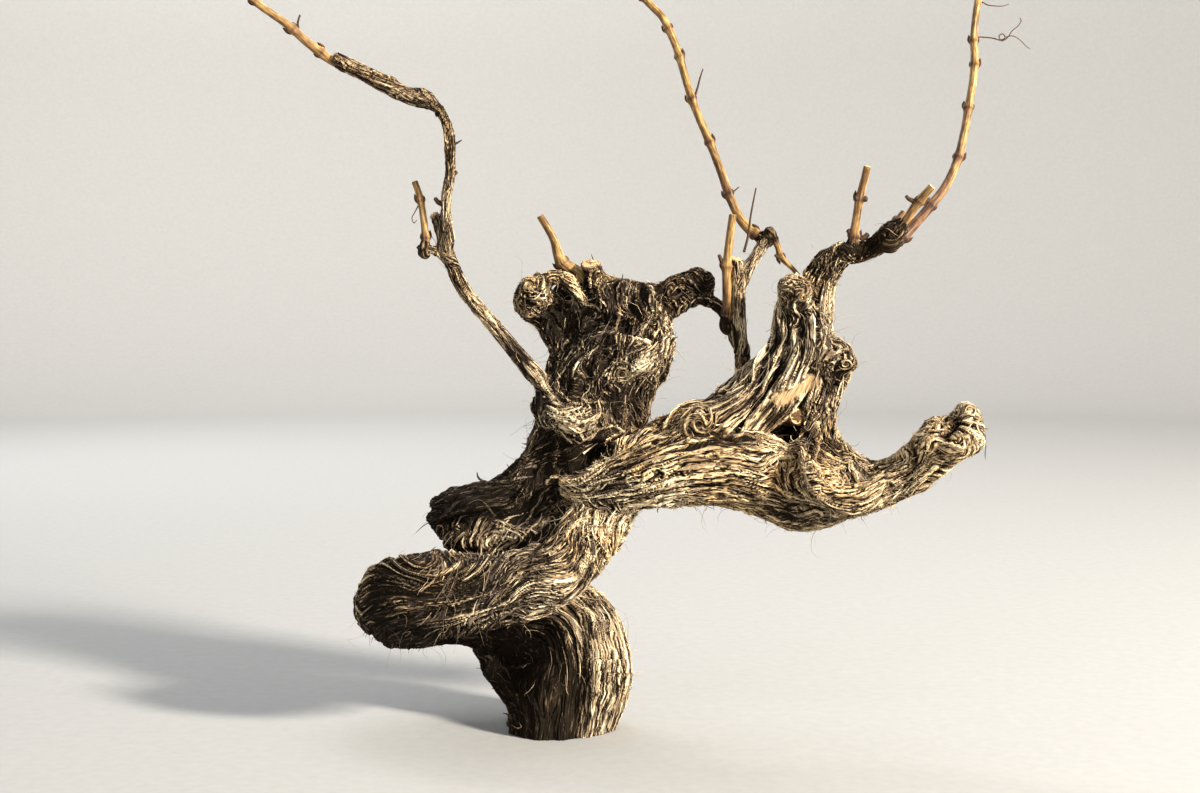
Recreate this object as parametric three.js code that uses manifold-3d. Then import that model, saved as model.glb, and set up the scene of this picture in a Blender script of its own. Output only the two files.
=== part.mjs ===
// An old bush-trained grapevine in its winter rest, pruned and without leaves.
// Millimetres, +Z up, origin at the middle of the flat cut under the trunk at ground level.
// The trunk rises from the ground, turns once round itself like a corkscrew and divides into a
// gnarled left trunk with its head, and a long front arm that carries the right-hand side.
import * as THREE from "three";
import { mergeVertices } from "three/addons/utils/BufferGeometryUtils.js";
import Module from "manifold-3d";

const wasm = await Module();
wasm.setup();

// ---------------------------------------------------------------- driving dimensions
const GROUND_Z = 0; // the flat cut
const GAP = 0.3; // clearance between two neighbouring limbs
const CREASE = 0.72; // how far wood reaches in towards the centre of a tight bend, 1 is all the way
const THICK_R = 24; // limbs over this radius get TRUNK_SIDES sides
const THIN_R = 9; // limbs under this radius get CANE_SIDES sides
const TRUNK_SIDES = 12;
const ARM_SIDES = 9;
const CANE_SIDES = 6;
// A new ring comes after this much bend in radians, or this share of change in radius, or this
// many radii of old wood, or this many mm of cane.
const TRUNK_STEPS = { bend: 0.3, swell: 0.16, far: 0.95, cane: 75 };
const LIMB_STEPS = { bend: 0.36, swell: 0.17, far: 1.0, cane: 80 };
const FLUTE_DEPTH = 0.075; // depth of the flutes of old wood, in radii
const FLUTE_TWIST = 0.006; // turn of the flutes, in radians per mm
const CANE_FLUTE = 0.02;

// Each limb is one tapering tube. Its guide gives [x, y, z, radius] where it starts, where it
// bends or swells, and where it ends.
const GUIDES = {
  trunk_foot: [[-14, 0, -33, 72.9], [-9, 2, -1, 70.3], [4, 2, 40, 71.5], [14, 8, 83, 70.3], [-4, 28, 120, 66.9]],
  trunk_low_bend: [[-4, 28, 120, 66.9], [-68, 50, 134, 55.6], [-135, 60, 143, 49.2], [-190, 46, 147, 54.2]],
  trunk_left_turn: [[-190, 46, 147, 54.2], [-214, 8, 158, 57.1], [-198, -30, 173, 58.6], [-157, -50, 181, 56.8]],
  trunk_upper_sweep: [[-157, -50, 181, 56.8], [-101, -54, 188, 50.4], [-43, -50, 198, 46.7], [1, -38, 225, 46.9], [35, -22, 260, 43.4], [67, -10, 298, 34.6]],
  trunk_heel: [[-17, 14, 0, 28.8], [-41, 24, 27, 32.8], [-61, 36, 56, 38.3], [-75, 46, 85, 43.7], [-85, 52, 111, 43.8]],
  back_elbow: [[32, 60, 251, 39.8], [-35, 98, 257, 40.4], [-111, 104, 261, 40.6], [-148, 72, 267, 38.6], [-115, 38, 275, 40.7], [-67, 28, 288, 44.4], [-20, 34, 324, 49.7], [6, 38, 358, 54.9]],
  knuckle_underside: [[-147, 16, 241, 16.9], [-107, 10, 237, 25.9], [-58, 4, 240, 31], [-11, -4, 248, 33.5], [25, -10, 259, 25.7]],
  left_trunk: [[-17, 34, 326, 49.7], [14, 40, 370, 66.8], [32, 44, 417, 73.3], [49, 48, 462, 74.7], [64, 54, 501, 81.4], [73, 56, 532, 70.9]],
  torso_collar: [[-26, 2, 423, 21.8], [-1, -8, 408, 29.4], [38, -6, 402, 24.3], [58, 4, 410, 16.7]],
  head_left_knob: [[12, 40, 501, 32.6], [-15, 26, 528, 31.1], [-36, 18, 550, 30.9], [-39, 18, 569, 23.2]],
  head_left_strand: [[-28, 16, 579, 12.9], [-8, 12, 581, 11.6], [16, 12, 564, 11.6], [40, 22, 536, 15.5]],
  head_cut_stump: [[98, 44, 522, 28.7], [72, 40, 551, 23.4], [46, 42, 575, 16.9], [35, 44, 592, 14.3], [32, 44, 608, 14.3]],
  head_spur_cane: [[46, 60, 540, 11.8], [22, 62, 582, 10.5], [-4, 60, 603, 7.9], [-16, 54, 634, 5.5], [-33, 50, 664, 5.2]],
  head_right_arm: [[80, 62, 532, 44.7], [114, 70, 549, 31.7], [151, 76, 562, 26.5], [178, 78, 573, 26.5], [188, 78, 574, 17.2]],
  head_hollow_back: [[-16, 62, 524, 15.8], [-11, 66, 548, 19.8], [11, 68, 564, 22.4], [42, 64, 564, 18.4]],
  middle_stem: [[228, 4, 420, 14.1], [230, 26, 455, 11.2], [229, 40, 501, 11], [226, 46, 553, 10.7], [224, 50, 590, 10.7], [223, 50, 611, 8.5]],
  middle_fork: [[230, 50, 572, 10.5], [239, 52, 594, 9.8], [255, 54, 620, 9.8], [267, 56, 636, 9.9], [273, 57, 642, 6.5]],
  head_neck: [[175, 74, 556, 11.9], [196, 66, 549, 10.5], [211, 56, 532, 9.8], [222, 44, 496, 9.1]],
  middle_spur_cane: [[210, 48, 519, 6.5], [211, 46, 553, 6.3], [211, 42, 596, 6], [214, 40, 634, 5.6], [218, 40, 665, 5.2]],
  middle_cane: [[263, 58, 632, 7.2], [243, 66, 644, 6.8], [225, 76, 670, 6.1], [200, 96, 739, 5.7], [171, 118, 815, 5.5], [139, 148, 918, 5.3], [111, 160, 955, 5.2], [54, 180, 1013, 4.9], [6, 202, 1091, 4.5], [-25, 224, 1175, 4.2], [-41, 244, 1255, 3.6]],
  middle_side_cane: [[269, 52, 639, 5.2], [277, 46, 624, 4.4], [282, 42, 609, 4.2], [294, 38, 596, 3.4]],
  front_arm: [[3, -22, 320, 17.8], [33, -26, 318, 30.5], [86, -26, 327, 45.8], [147, -22, 342, 52.2], [204, -18, 344, 54.8], [252, -18, 330, 54.9], [301, -16, 313, 54.9]],
  right_bend: [[301, -16, 313, 54.9], [331, -18, 314, 49.8], [359, -22, 317, 42]],
  right_rising_arm: [[160, -16, 368, 45.9], [207, -8, 393, 42.2], [258, 0, 436, 42.3], [298, 6, 484, 39.8], [310, 10, 533, 36], [326, 14, 574, 24.4], [341, 16, 602, 20.6]],
  front_arm_strand: [[51, -24, 361, 15.3], [96, -22, 379, 16.5], [140, -18, 396, 19.1], [170, -14, 404, 23], [204, -8, 411, 20.5]],
  right_column: [[347, -14, 332, 35.8], [330, -4, 377, 23.1], [328, 2, 415, 25.7], [338, 4, 454, 30.8], [336, 6, 487, 28.2]],
  right_hollow_back: [[259, 30, 356, 18.3], [294, 34, 374, 26.1], [314, 36, 408, 26.1], [321, 32, 439, 19.5]],
  right_burl: [[325, 2, 482, 32], [350, -4, 477, 25.6], [362, -6, 470, 16.6]],
  right_lower_arm: [[359, -22, 317, 42], [398, -34, 319, 31.7], [438, -46, 341, 29], [474, -56, 372, 32.5], [497, -60, 392, 28.7], [505, -62, 414, 17.4]],
  right_knob: [[312, 4, 526, 28.2], [300, -2, 554, 23], [292, -2, 574, 19.1]],
  right_upper_arm: [[336, 14, 592, 21.8], [356, 14, 613, 16.7], [383, 8, 615, 14.1], [403, 3, 626, 15.3], [417, -1, 639, 15.9], [429, -5, 649, 12.1]],
  right_upright_spur: [[368, 8, 618, 7], [370, 4, 643, 5.9], [376, -2, 681, 5.3], [384, -10, 724, 5.1]],
  right_short_spur: [[415, 10, 641, 8.3], [426, 14, 653, 6.4], [437, 18, 666, 5.6]],
  right_second_spur: [[423, -10, 640, 7], [435, -16, 659, 5.9], [445, -21, 676, 5.7], [463, -29, 697, 5.1]],
  right_cane: [[416, -3, 626, 9.4], [436, 2, 640, 7.1], [473, 14, 678, 6.1], [498, 26, 715, 5.9], [517, 42, 770, 5.6], [532, 62, 846, 5.2], [538, 82, 920, 4.9], [552, 100, 988, 4.6], [580, 120, 1062, 4.3], [615, 138, 1137, 3.7], [644, 150, 1190, 3.2]],
  left_arm_lower: [[4, 14, 409, 22], [-25, -6, 441, 17.3], [-56, -20, 482, 12.1], [-94, -34, 529, 10.6], [-125, -42, 568, 10.4], [-142, -48, 606, 10.2], [-151, -52, 636, 9.4], [-162, -54, 663, 6.8]],
  left_arm_rise: [[-142, -54, 621, 9.3], [-145, -60, 656, 8.9], [-144, -66, 682, 8.4], [-138, -72, 714, 8.4], [-140, -82, 764, 7.9], [-154, -88, 790, 7.8], [-168, -92, 800, 7]],
  left_arm_reach: [[-158, -90, 796, 7.8], [-182, -95, 800, 7.8], [-213, -102, 814, 7.5], [-241, -108, 828, 7.5], [-260, -112, 837, 7.4], [-274, -116, 847, 6]],
  left_cane: [[-258, -110, 834, 5.8], [-278, -112, 842, 5.5], [-303, -120, 861, 5.4], [-323, -128, 880, 5], [-360, -140, 905, 4.7], [-414, -158, 951, 4.3], [-455, -172, 1008, 3.8], [-478, -184, 1068, 3.1]],
  left_spur: [[-140, -46, 602, 10], [-156, -50, 613, 8.1], [-171, -53, 618, 7.5], [-181, -55, 619, 5.6]],
  left_spur_cane: [[-173, -54, 614, 5.5], [-172, -54, 631, 4.7], [-176, -52, 675, 4.3], [-185, -50, 702, 4.1]],
};

// The trunk is one twisted stem in sections, each starting on the flat end of the last.
const TRUNK = ["trunk_foot", "trunk_low_bend", "trunk_left_turn", "trunk_upper_sweep"];

// How a limb ends: "cut" is a flat pruning cut, "round" a swollen knob, "in" lies inside
// another limb. start is the same for its lower end.
const ENDS = {
  trunk_upper_sweep: "in",
  back_elbow: "in",
  knuckle_underside: "in",
  left_trunk: "round",
  torso_collar: "round",
  head_left_knob: "round",
  head_left_strand: "in",
  head_cut_stump: "cut",
  head_spur_cane: "cut",
  head_right_arm: "round",
  head_hollow_back: "in",
  head_neck: "in",
  middle_stem: "cut",
  middle_fork: "round",
  front_arm: "in",
  front_arm_strand: "in",
  right_bend: "in",
  right_column: "in",
  right_hollow_back: "in",
  right_burl: "round",
  right_lower_arm: "round",
  right_rising_arm: "in",
  right_knob: "round",
  right_upper_arm: "round",
  left_arm_lower: "cut",
  left_arm_rise: "round",
  left_arm_reach: "cut",
  left_spur: "round",
};
const ROUND_STARTS = ["front_arm", "torso_collar", "head_left_strand", "knuckle_underside", "head_hollow_back"];

// Wood at the back of a deep hollow, mostly hidden, with few sides.
const PLAIN_BACKS = ["knuckle_underside", "head_hollow_back", "right_hollow_back"];

// Bark colours by kind of wood: old sunlit bark, old grey bark, and last year's ripe cane.
const PALE_BARK = { color: 0xb8a284, roughness: 0.95, metalness: 0 };
const GREY_BARK = { color: 0x6f6257, roughness: 0.96, metalness: 0 };
const CANE_BARK = { color: 0xa5753f, roughness: 0.7, metalness: 0 };
const barkOf = (name) =>
  /cane|upright_spur|short_spur|second_spur/.test(name)
    ? CANE_BARK
    : /^(left_trunk|head|back|knuckle|torso|left_arm|left_spur|middle)/.test(name)
      ? GREY_BARK
      : PALE_BARK;

// ---------------------------------------------------------------- sweeping a limb
// The guide's course and radius at t from 0 to 1, both smooth through every station.
function courseOf(guide) {
  const line = new THREE.CatmullRomCurve3(
    guide.map(([x, y, z]) => new THREE.Vector3(x, y, z)), false, "catmullrom", 0.5);
  const girth = new THREE.CatmullRomCurve3(
    guide.map((g) => new THREE.Vector3(g[3], 0, 0)), false, "catmullrom", 0.5);
  return { at: (t) => line.getPoint(t), r: (t) => Math.max(1, girth.getPoint(t).x),
    along: (t) => line.getTangent(t) };
}

// Rings between t0 and t1, a share of the radius apart, each with a frame that doesn't spin.
function ringsOf(course, t0, t1, inset0, inset1, steps) {
  const fine = 240, marks = [{ t: t0, s: 0 }];
  let last = course.at(t0), s = 0;
  for (let i = 1; i <= fine; i++) {
    const t = t0 + ((t1 - t0) * i) / fine, p = course.at(t);
    s += p.distanceTo(last);
    last = p;
    marks.push({ t, s });
  }
  const length = s;
  const tAt = (want) => {
    const i = Math.max(1, marks.findIndex((m) => m.s >= want - 1e-9));
    const a = marks[i - 1], b = marks[i];
    return a.t + ((b.t - a.t) * (want - a.s)) / Math.max(1e-9, b.s - a.s);
  };
  const stops = [inset0];
  let turned = 0, from = marks[0];
  for (let i = 1; i <= fine; i++) {
    const m = marks[i], t = stops[stops.length - 1], r = course.r(m.t), was = course.r(tAt(t));
    turned += course.along(m.t).angleTo(course.along(from.t));
    from = m;
    const far = r < THIN_R ? steps.cane : steps.far * r;
    if (m.s > length - inset1 || m.s < t + 0.25 * r) continue;
    if (turned > steps.bend || Math.abs(r / was - 1) > steps.swell || m.s - t > far) {
      stops.push(m.s);
      turned = 0;
    }
  }
  const end = length - inset1;
  if (stops.length > 2 && end - stops[stops.length - 1] < 0.3 * course.r(t1)) stops.pop();
  stops.push(end);
  let side = null;
  return stops.map((at) => {
    const t = tAt(at), p = course.at(t), d = course.along(t);
    if (!side) {
      side = new THREE.Vector3(0, 0, 1);
      if (Math.abs(d.z) > 0.9) side.set(1, 0, 0);
    }
    side.addScaledVector(d, -side.dot(d)).normalize();
    // The bend here, as a vector towards its centre, 1 over its radius long.
    const reach = (0.5 * course.r(t) + 4) / Math.max(1, length) * (t1 - t0);
    const a = Math.max(0, t - reach), b = Math.min(1, t + reach);
    const bend = course.along(b).sub(course.along(a)).divideScalar(Math.max(1, course.at(a).distanceTo(course.at(b))));
    return { p, d, bend, side: side.clone(), up: new THREE.Vector3().crossVectors(d, side), r: course.r(t), s: at };
  });
}

// A round end: two smaller rings beyond the last one.
function roundOff(ring, way) {
  return [[0.42, 0.86], [0.68, 0.5]].map(([out, size]) => ({
    ...ring, p: ring.p.clone().addScaledVector(ring.d, way * out * ring.r), r: ring.r * size,
    s: ring.s + way * out * ring.r,
  }));
}

// The closed skin through the rings. grow adds to every radius and moves both flat ends out.
function skinOf(rings, sides, flute, phase, grow) {
  const pos = [], index = [];
  const last = rings.length - 1;
  rings.forEach((ring, i) => {
    const p = ring.p.clone();
    if (grow && i === 0) p.addScaledVector(ring.d, -grow);
    if (grow && i === last) p.addScaledVector(ring.d, grow);
    for (let k = 0; k < sides; k++) {
      const a = (2 * Math.PI * k) / sides, turn = FLUTE_TWIST * ring.s;
      const r = ring.r * (1 + flute * (0.6 * Math.cos(3 * a + phase + turn) + 0.4 * Math.cos(5 * a - 1.7 * phase + 2 * turn)));
      const w = ring.side.clone().multiplyScalar(r * Math.cos(a)).addScaledVector(ring.up, r * Math.sin(a));
      const inwards = w.dot(ring.bend);
      if (inwards > CREASE) w.multiplyScalar(CREASE / inwards);
      const v = p.clone().add(w.setLength(w.length() + grow));
      pos.push(v.x, v.y, v.z);
    }
  });
  for (let i = 0; i < last; i++)
    for (let k = 0; k < sides; k++) {
      const a = i * sides + k, b = i * sides + ((k + 1) % sides), c = a + sides, d = b + sides;
      index.push(a, b, d, a, d, c);
    }
  [[0, -1], [last, 1]].forEach(([i, way]) => {
    const middle = pos.length / 3, ring = rings[i];
    const p = ring.p.clone().addScaledVector(ring.d, grow * way);
    pos.push(p.x, p.y, p.z);
    for (let k = 0; k < sides; k++) {
      const a = i * sides + k, b = i * sides + ((k + 1) % sides);
      way < 0 ? index.push(middle, b, a) : index.push(middle, a, b);
    }
  });
  const g = new THREE.BufferGeometry();
  g.setAttribute("position", new THREE.Float32BufferAttribute(pos, 3));
  g.setIndex(index);
  return g;
}

// ---------------------------------------------------------------- solids
function solidOf(geometry) {
  const g = geometry.clone();
  g.deleteAttribute("normal");
  g.deleteAttribute("uv");
  const merged = mergeVertices(g, 1e-3);
  return new wasm.Manifold(new wasm.Mesh({
    numProp: 3,
    vertProperties: Float32Array.from(merged.attributes.position.array),
    triVerts: Uint32Array.from(merged.index.array),
  }));
}

function geometryOf(solid) {
  const m = solid.getMesh(), v = new Float32Array(m.numVert * 3);
  for (let i = 0; i < m.numVert; i++) v.set(m.vertProperties.subarray(i * m.numProp, i * m.numProp + 3), i * 3);
  const g = new THREE.BufferGeometry();
  g.setAttribute("position", new THREE.BufferAttribute(v, 3));
  g.setIndex(new THREE.BufferAttribute(Uint32Array.from(m.triVerts), 1));
  g.computeVertexNormals();
  return g;
}

const biggest = (solid) =>
  solid.decompose().reduce((a, b) => (b.volume() > a.volume() ? b : a));

const apart = (a, b) => {
  const p = a.boundingBox(), q = b.boundingBox();
  return [0, 1, 2].some((i) => p.min[i] > q.max[i] + 1 || q.min[i] > p.max[i] + 1);
};

// Everything under the flat cut.
const ground = solidOf(new THREE.BoxGeometry(900, 900, 400).translate(0, 0, GROUND_Z - 200));

const group = new THREE.Group();
const built = []; // { name, solid, grown }

function addLimb(name, rings, startRound, end) {
  if (startRound) rings = [...roundOff(rings[0], -1).reverse(), ...rings];
  if (end === "round") rings = [...rings, ...roundOff(rings[rings.length - 1], 1)];
  const fat = Math.max(...rings.map((r) => r.r));
  const sides = PLAIN_BACKS.includes(name) ? CANE_SIDES : fat > THICK_R ? TRUNK_SIDES : fat > THIN_R ? ARM_SIDES : CANE_SIDES;
  const flute = fat > THIN_R ? FLUTE_DEPTH : CANE_FLUTE;
  const phase = 1.3 * built.length;
  let solid = solidOf(skinOf(rings, sides, flute, phase, 0));
  const grown = solidOf(skinOf(rings, sides, flute, phase, GAP));
  for (const other of built) {
    if (apart(solid, other.grown)) continue;
    solid = solid.subtract(other.grown);
  }
  solid = biggest(solid.subtract(ground));
  built.push({ name, solid, grown });
  const mesh = new THREE.Mesh(geometryOf(solid), new THREE.MeshStandardMaterial(barkOf(name)));
  mesh.name = name;
  group.add(mesh);
}

// The trunk: one course through all its stations, divided where one section's guide ends.
const trunkGuide = [];
const breaks = [0];
for (const name of TRUNK) {
  const guide = GUIDES[name];
  trunkGuide.push(...(trunkGuide.length ? guide.slice(1) : guide));
  breaks.push(trunkGuide.length - 1);
}
const trunkCourse = courseOf(trunkGuide);
TRUNK.forEach((name, i) => {
  const [a, b] = [breaks[i], breaks[i + 1]].map((k) => k / (trunkGuide.length - 1));
  const rings = ringsOf(trunkCourse, a, b, i ? 0.75 * GAP : 0, i < TRUNK.length - 1 ? 0.75 * GAP : 0, TRUNK_STEPS);
  addLimb(name, rings, false, ENDS[name]);
});

// All other limbs, parents before the limbs that they carry.
for (const [name, guide] of Object.entries(GUIDES)) {
  if (TRUNK.includes(name)) continue;
  const steps = name === "trunk_heel" ? TRUNK_STEPS : LIMB_STEPS;
  addLimb(name, ringsOf(courseOf(guide), 0, 1, 0, 0, steps), ROUND_STARTS.includes(name), ENDS[name] || "cut");
}

export default group;
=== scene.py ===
"""An old bush-trained grapevine in winter rest: bark, canes, buds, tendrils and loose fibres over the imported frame.

Metres, +Z up, +Y away from the viewer. The limbs' stations repeat those of the solids."""

import math

import bmesh
import bpy
import numpy as np
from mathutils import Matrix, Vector
from mathutils.bvhtree import BVHTree
from mathutils.kdtree import KDTree


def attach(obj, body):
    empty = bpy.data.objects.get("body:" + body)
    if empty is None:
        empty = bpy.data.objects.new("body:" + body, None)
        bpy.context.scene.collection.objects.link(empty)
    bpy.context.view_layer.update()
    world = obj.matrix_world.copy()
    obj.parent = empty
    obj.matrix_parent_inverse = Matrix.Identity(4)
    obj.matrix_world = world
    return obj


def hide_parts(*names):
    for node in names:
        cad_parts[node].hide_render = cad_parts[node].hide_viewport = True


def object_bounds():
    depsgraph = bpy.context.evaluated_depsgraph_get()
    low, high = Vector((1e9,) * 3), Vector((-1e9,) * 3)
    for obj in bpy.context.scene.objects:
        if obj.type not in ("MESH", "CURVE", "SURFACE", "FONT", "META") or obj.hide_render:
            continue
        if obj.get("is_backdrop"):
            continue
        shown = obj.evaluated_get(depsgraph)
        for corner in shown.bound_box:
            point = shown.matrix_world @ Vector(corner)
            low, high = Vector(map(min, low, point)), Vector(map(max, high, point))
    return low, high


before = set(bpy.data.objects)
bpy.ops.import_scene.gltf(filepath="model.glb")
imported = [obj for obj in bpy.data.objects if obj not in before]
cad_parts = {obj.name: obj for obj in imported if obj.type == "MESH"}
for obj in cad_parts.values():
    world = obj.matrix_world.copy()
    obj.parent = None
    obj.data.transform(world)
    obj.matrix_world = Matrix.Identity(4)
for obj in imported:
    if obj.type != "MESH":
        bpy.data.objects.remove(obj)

CAD_LO, CAD_HI = (tuple(v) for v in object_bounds())
SEED = 20471

# ------------------------------------------------------------------ the limbs, as in the solids: x, y, z, radius in mm
GUIDES = {
    "trunk_foot": [(-14, 0, -33, 72.9), (-9, 2, -1, 70.3), (4, 2, 40, 71.5), (14, 8, 83, 70.3), (-4, 28, 120, 66.9)],
    "trunk_low_bend": [(-4, 28, 120, 66.9), (-68, 50, 134, 55.6), (-135, 60, 143, 49.2), (-190, 46, 147, 54.2)],
    "trunk_left_turn": [(-190, 46, 147, 54.2), (-214, 8, 158, 57.1), (-198, -30, 173, 58.6), (-157, -50, 181, 56.8)],
    "trunk_upper_sweep": [(-157, -50, 181, 56.8), (-101, -54, 188, 50.4), (-43, -50, 198, 46.7), (1, -38, 225, 46.9), (35, -22, 260, 43.4), (67, -10, 298, 34.6)],
    "trunk_heel": [(-17, 14, 0, 28.8), (-41, 24, 27, 32.8), (-61, 36, 56, 38.3), (-75, 46, 85, 43.7), (-85, 52, 111, 43.8)],
    "back_elbow": [(32, 60, 251, 39.8), (-35, 98, 257, 40.4), (-111, 104, 261, 40.6), (-148, 72, 267, 38.6), (-115, 38, 275, 40.7), (-67, 28, 288, 44.4), (-20, 34, 324, 49.7), (6, 38, 358, 54.9)],
    "knuckle_underside": [(-147, 16, 241, 16.9), (-107, 10, 237, 25.9), (-58, 4, 240, 31), (-11, -4, 248, 33.5), (25, -10, 259, 25.7)],
    "left_trunk": [(-17, 34, 326, 49.7), (14, 40, 370, 66.8), (32, 44, 417, 73.3), (49, 48, 462, 74.7), (64, 54, 501, 81.4), (73, 56, 532, 70.9)],
    "torso_collar": [(-26, 2, 423, 21.8), (-1, -8, 408, 29.4), (38, -6, 402, 24.3), (58, 4, 410, 16.7)],
    "head_left_knob": [(12, 40, 501, 32.6), (-15, 26, 528, 31.1), (-36, 18, 550, 30.9), (-39, 18, 569, 23.2)],
    "head_left_strand": [(-28, 16, 579, 12.9), (-8, 12, 581, 11.6), (16, 12, 564, 11.6), (40, 22, 536, 15.5)],
    "head_cut_stump": [(98, 44, 522, 28.7), (72, 40, 551, 23.4), (46, 42, 575, 16.9), (35, 44, 592, 14.3), (32, 44, 608, 14.3)],
    "head_spur_cane": [(46, 60, 540, 11.8), (22, 62, 582, 10.5), (-4, 60, 603, 7.9), (-16, 54, 634, 5.5), (-33, 50, 664, 5.2)],
    "head_right_arm": [(80, 62, 532, 44.7), (114, 70, 549, 31.7), (151, 76, 562, 26.5), (178, 78, 573, 26.5), (188, 78, 574, 17.2)],
    "head_hollow_back": [(-16, 62, 524, 15.8), (-11, 66, 548, 19.8), (11, 68, 564, 22.4), (42, 64, 564, 18.4)],
    "middle_stem": [(228, 4, 420, 14.1), (230, 26, 455, 11.2), (229, 40, 501, 11), (226, 46, 553, 10.7), (224, 50, 590, 10.7), (223, 50, 611, 8.5)],
    "middle_fork": [(230, 50, 572, 10.5), (239, 52, 594, 9.8), (255, 54, 620, 9.8), (267, 56, 636, 9.9), (273, 57, 642, 6.5)],
    "head_neck": [(175, 74, 556, 11.9), (196, 66, 549, 10.5), (211, 56, 532, 9.8), (222, 44, 496, 9.1)],
    "middle_spur_cane": [(210, 48, 519, 6.5), (211, 46, 553, 6.3), (211, 42, 596, 6), (214, 40, 634, 5.6), (218, 40, 665, 5.2)],
    "middle_cane": [(263, 58, 632, 7.2), (243, 66, 644, 6.8), (225, 76, 670, 6.1), (200, 96, 739, 5.7), (171, 118, 815, 5.5), (139, 148, 918, 5.3), (111, 160, 955, 5.2), (54, 180, 1013, 4.9), (6, 202, 1091, 4.5), (-25, 224, 1175, 4.2), (-41, 244, 1255, 3.6)],
    "middle_side_cane": [(269, 52, 639, 5.2), (277, 46, 624, 4.4), (282, 42, 609, 4.2), (294, 38, 596, 3.4)],
    "front_arm": [(3, -22, 320, 17.8), (33, -26, 318, 30.5), (86, -26, 327, 45.8), (147, -22, 342, 52.2), (204, -18, 344, 54.8), (252, -18, 330, 54.9), (301, -16, 313, 54.9)],
    "right_bend": [(301, -16, 313, 54.9), (331, -18, 314, 49.8), (359, -22, 317, 42)],
    "right_rising_arm": [(160, -16, 368, 45.9), (207, -8, 393, 42.2), (258, 0, 436, 42.3), (298, 6, 484, 39.8), (310, 10, 533, 36), (326, 14, 574, 24.4), (341, 16, 602, 20.6)],
    "front_arm_strand": [(51, -24, 361, 15.3), (96, -22, 379, 16.5), (140, -18, 396, 19.1), (170, -14, 404, 23), (204, -8, 411, 20.5)],
    "right_column": [(347, -14, 332, 35.8), (330, -4, 377, 23.1), (328, 2, 415, 25.7), (338, 4, 454, 30.8), (336, 6, 487, 28.2)],
    "right_hollow_back": [(259, 30, 356, 18.3), (294, 34, 374, 26.1), (314, 36, 408, 26.1), (321, 32, 439, 19.5)],
    "right_burl": [(325, 2, 482, 32), (350, -4, 477, 25.6), (362, -6, 470, 16.6)],
    "right_lower_arm": [(359, -22, 317, 42), (398, -34, 319, 31.7), (438, -46, 341, 29), (474, -56, 372, 32.5), (497, -60, 392, 28.7), (505, -62, 414, 17.4)],
    "right_knob": [(312, 4, 526, 28.2), (300, -2, 554, 23), (292, -2, 574, 19.1)],
    "right_upper_arm": [(336, 14, 592, 21.8), (356, 14, 613, 16.7), (383, 8, 615, 14.1), (403, 3, 626, 15.3), (417, -1, 639, 15.9), (429, -5, 649, 12.1)],
    "right_upright_spur": [(368, 8, 618, 7), (370, 4, 643, 5.9), (376, -2, 681, 5.3), (384, -10, 724, 5.1)],
    "right_short_spur": [(415, 10, 641, 8.3), (426, 14, 653, 6.4), (437, 18, 666, 5.6)],
    "right_second_spur": [(423, -10, 640, 7), (435, -16, 659, 5.9), (445, -21, 676, 5.7), (463, -29, 697, 5.1)],
    "right_cane": [(416, -3, 626, 9.4), (436, 2, 640, 7.1), (473, 14, 678, 6.1), (498, 26, 715, 5.9), (517, 42, 770, 5.6), (532, 62, 846, 5.2), (538, 82, 920, 4.9), (552, 100, 988, 4.6), (580, 120, 1062, 4.3), (615, 138, 1137, 3.7), (644, 150, 1190, 3.2)],
    "left_arm_lower": [(4, 14, 409, 22), (-25, -6, 441, 17.3), (-56, -20, 482, 12.1), (-94, -34, 529, 10.6), (-125, -42, 568, 10.4), (-142, -48, 606, 10.2), (-151, -52, 636, 9.4), (-162, -54, 663, 6.8)],
    "left_arm_rise": [(-142, -54, 621, 9.3), (-145, -60, 656, 8.9), (-144, -66, 682, 8.4), (-138, -72, 714, 8.4), (-140, -82, 764, 7.9), (-154, -88, 790, 7.8), (-168, -92, 800, 7)],
    "left_arm_reach": [(-158, -90, 796, 7.8), (-182, -95, 800, 7.8), (-213, -102, 814, 7.5), (-241, -108, 828, 7.5), (-260, -112, 837, 7.4), (-274, -116, 847, 6)],
    "left_cane": [(-258, -110, 834, 5.8), (-278, -112, 842, 5.5), (-303, -120, 861, 5.4), (-323, -128, 880, 5), (-360, -140, 905, 4.7), (-414, -158, 951, 4.3), (-455, -172, 1008, 3.8), (-478, -184, 1068, 3.1)],
    "left_spur": [(-140, -46, 602, 10), (-156, -50, 613, 8.1), (-171, -53, 618, 7.5), (-181, -55, 619, 5.6)],
    "left_spur_cane": [(-173, -54, 614, 5.5), (-172, -54, 631, 4.7), (-176, -52, 675, 4.3), (-185, -50, 702, 4.1)],
}
# swellings and strands of bark that only the skin has
GUIDES.update(
    {
        "right_turn": [(317, -24, 394, 15.2), (304, -50, 366, 16.3), (306, -69, 334, 16.2), (330, -70, 308, 16.2), (365, -66, 303, 16.2), (402, -56, 319, 15)],
        "right_root": [(295, -60, 374, 5), (301, -83, 352, 6.5), (306, -89, 332, 7), (312, -88, 314, 6)],
        "stump_skirt": [(34, 41, 598, 13.7), (36, 36, 579, 15.6), (44, 29, 559, 19.4), (51, 25, 543, 16.8)],
        "torso_fan": [(128, 26, 504, 14.2), (115, 6, 493, 19.3), (94, -4, 477, 21.7), (74, 2, 464, 16.7)],
        "head_block": [(100, 22, 561, 18.1), (99, 12, 551, 23.1), (98, 8, 541, 23.1)],
        "left_elbow_knob": [(-154, -88, 788, 7.9), (-163, -91, 799, 9.1), (-173, -93, 807, 7.9)],
        "left_reach_knob": [(-201, -99, 804, 6.6), (-210, -101, 819, 6.3)],
    }
)
TRUNK = ["trunk_foot", "trunk_low_bend", "trunk_left_turn", "trunk_upper_sweep"]
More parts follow.
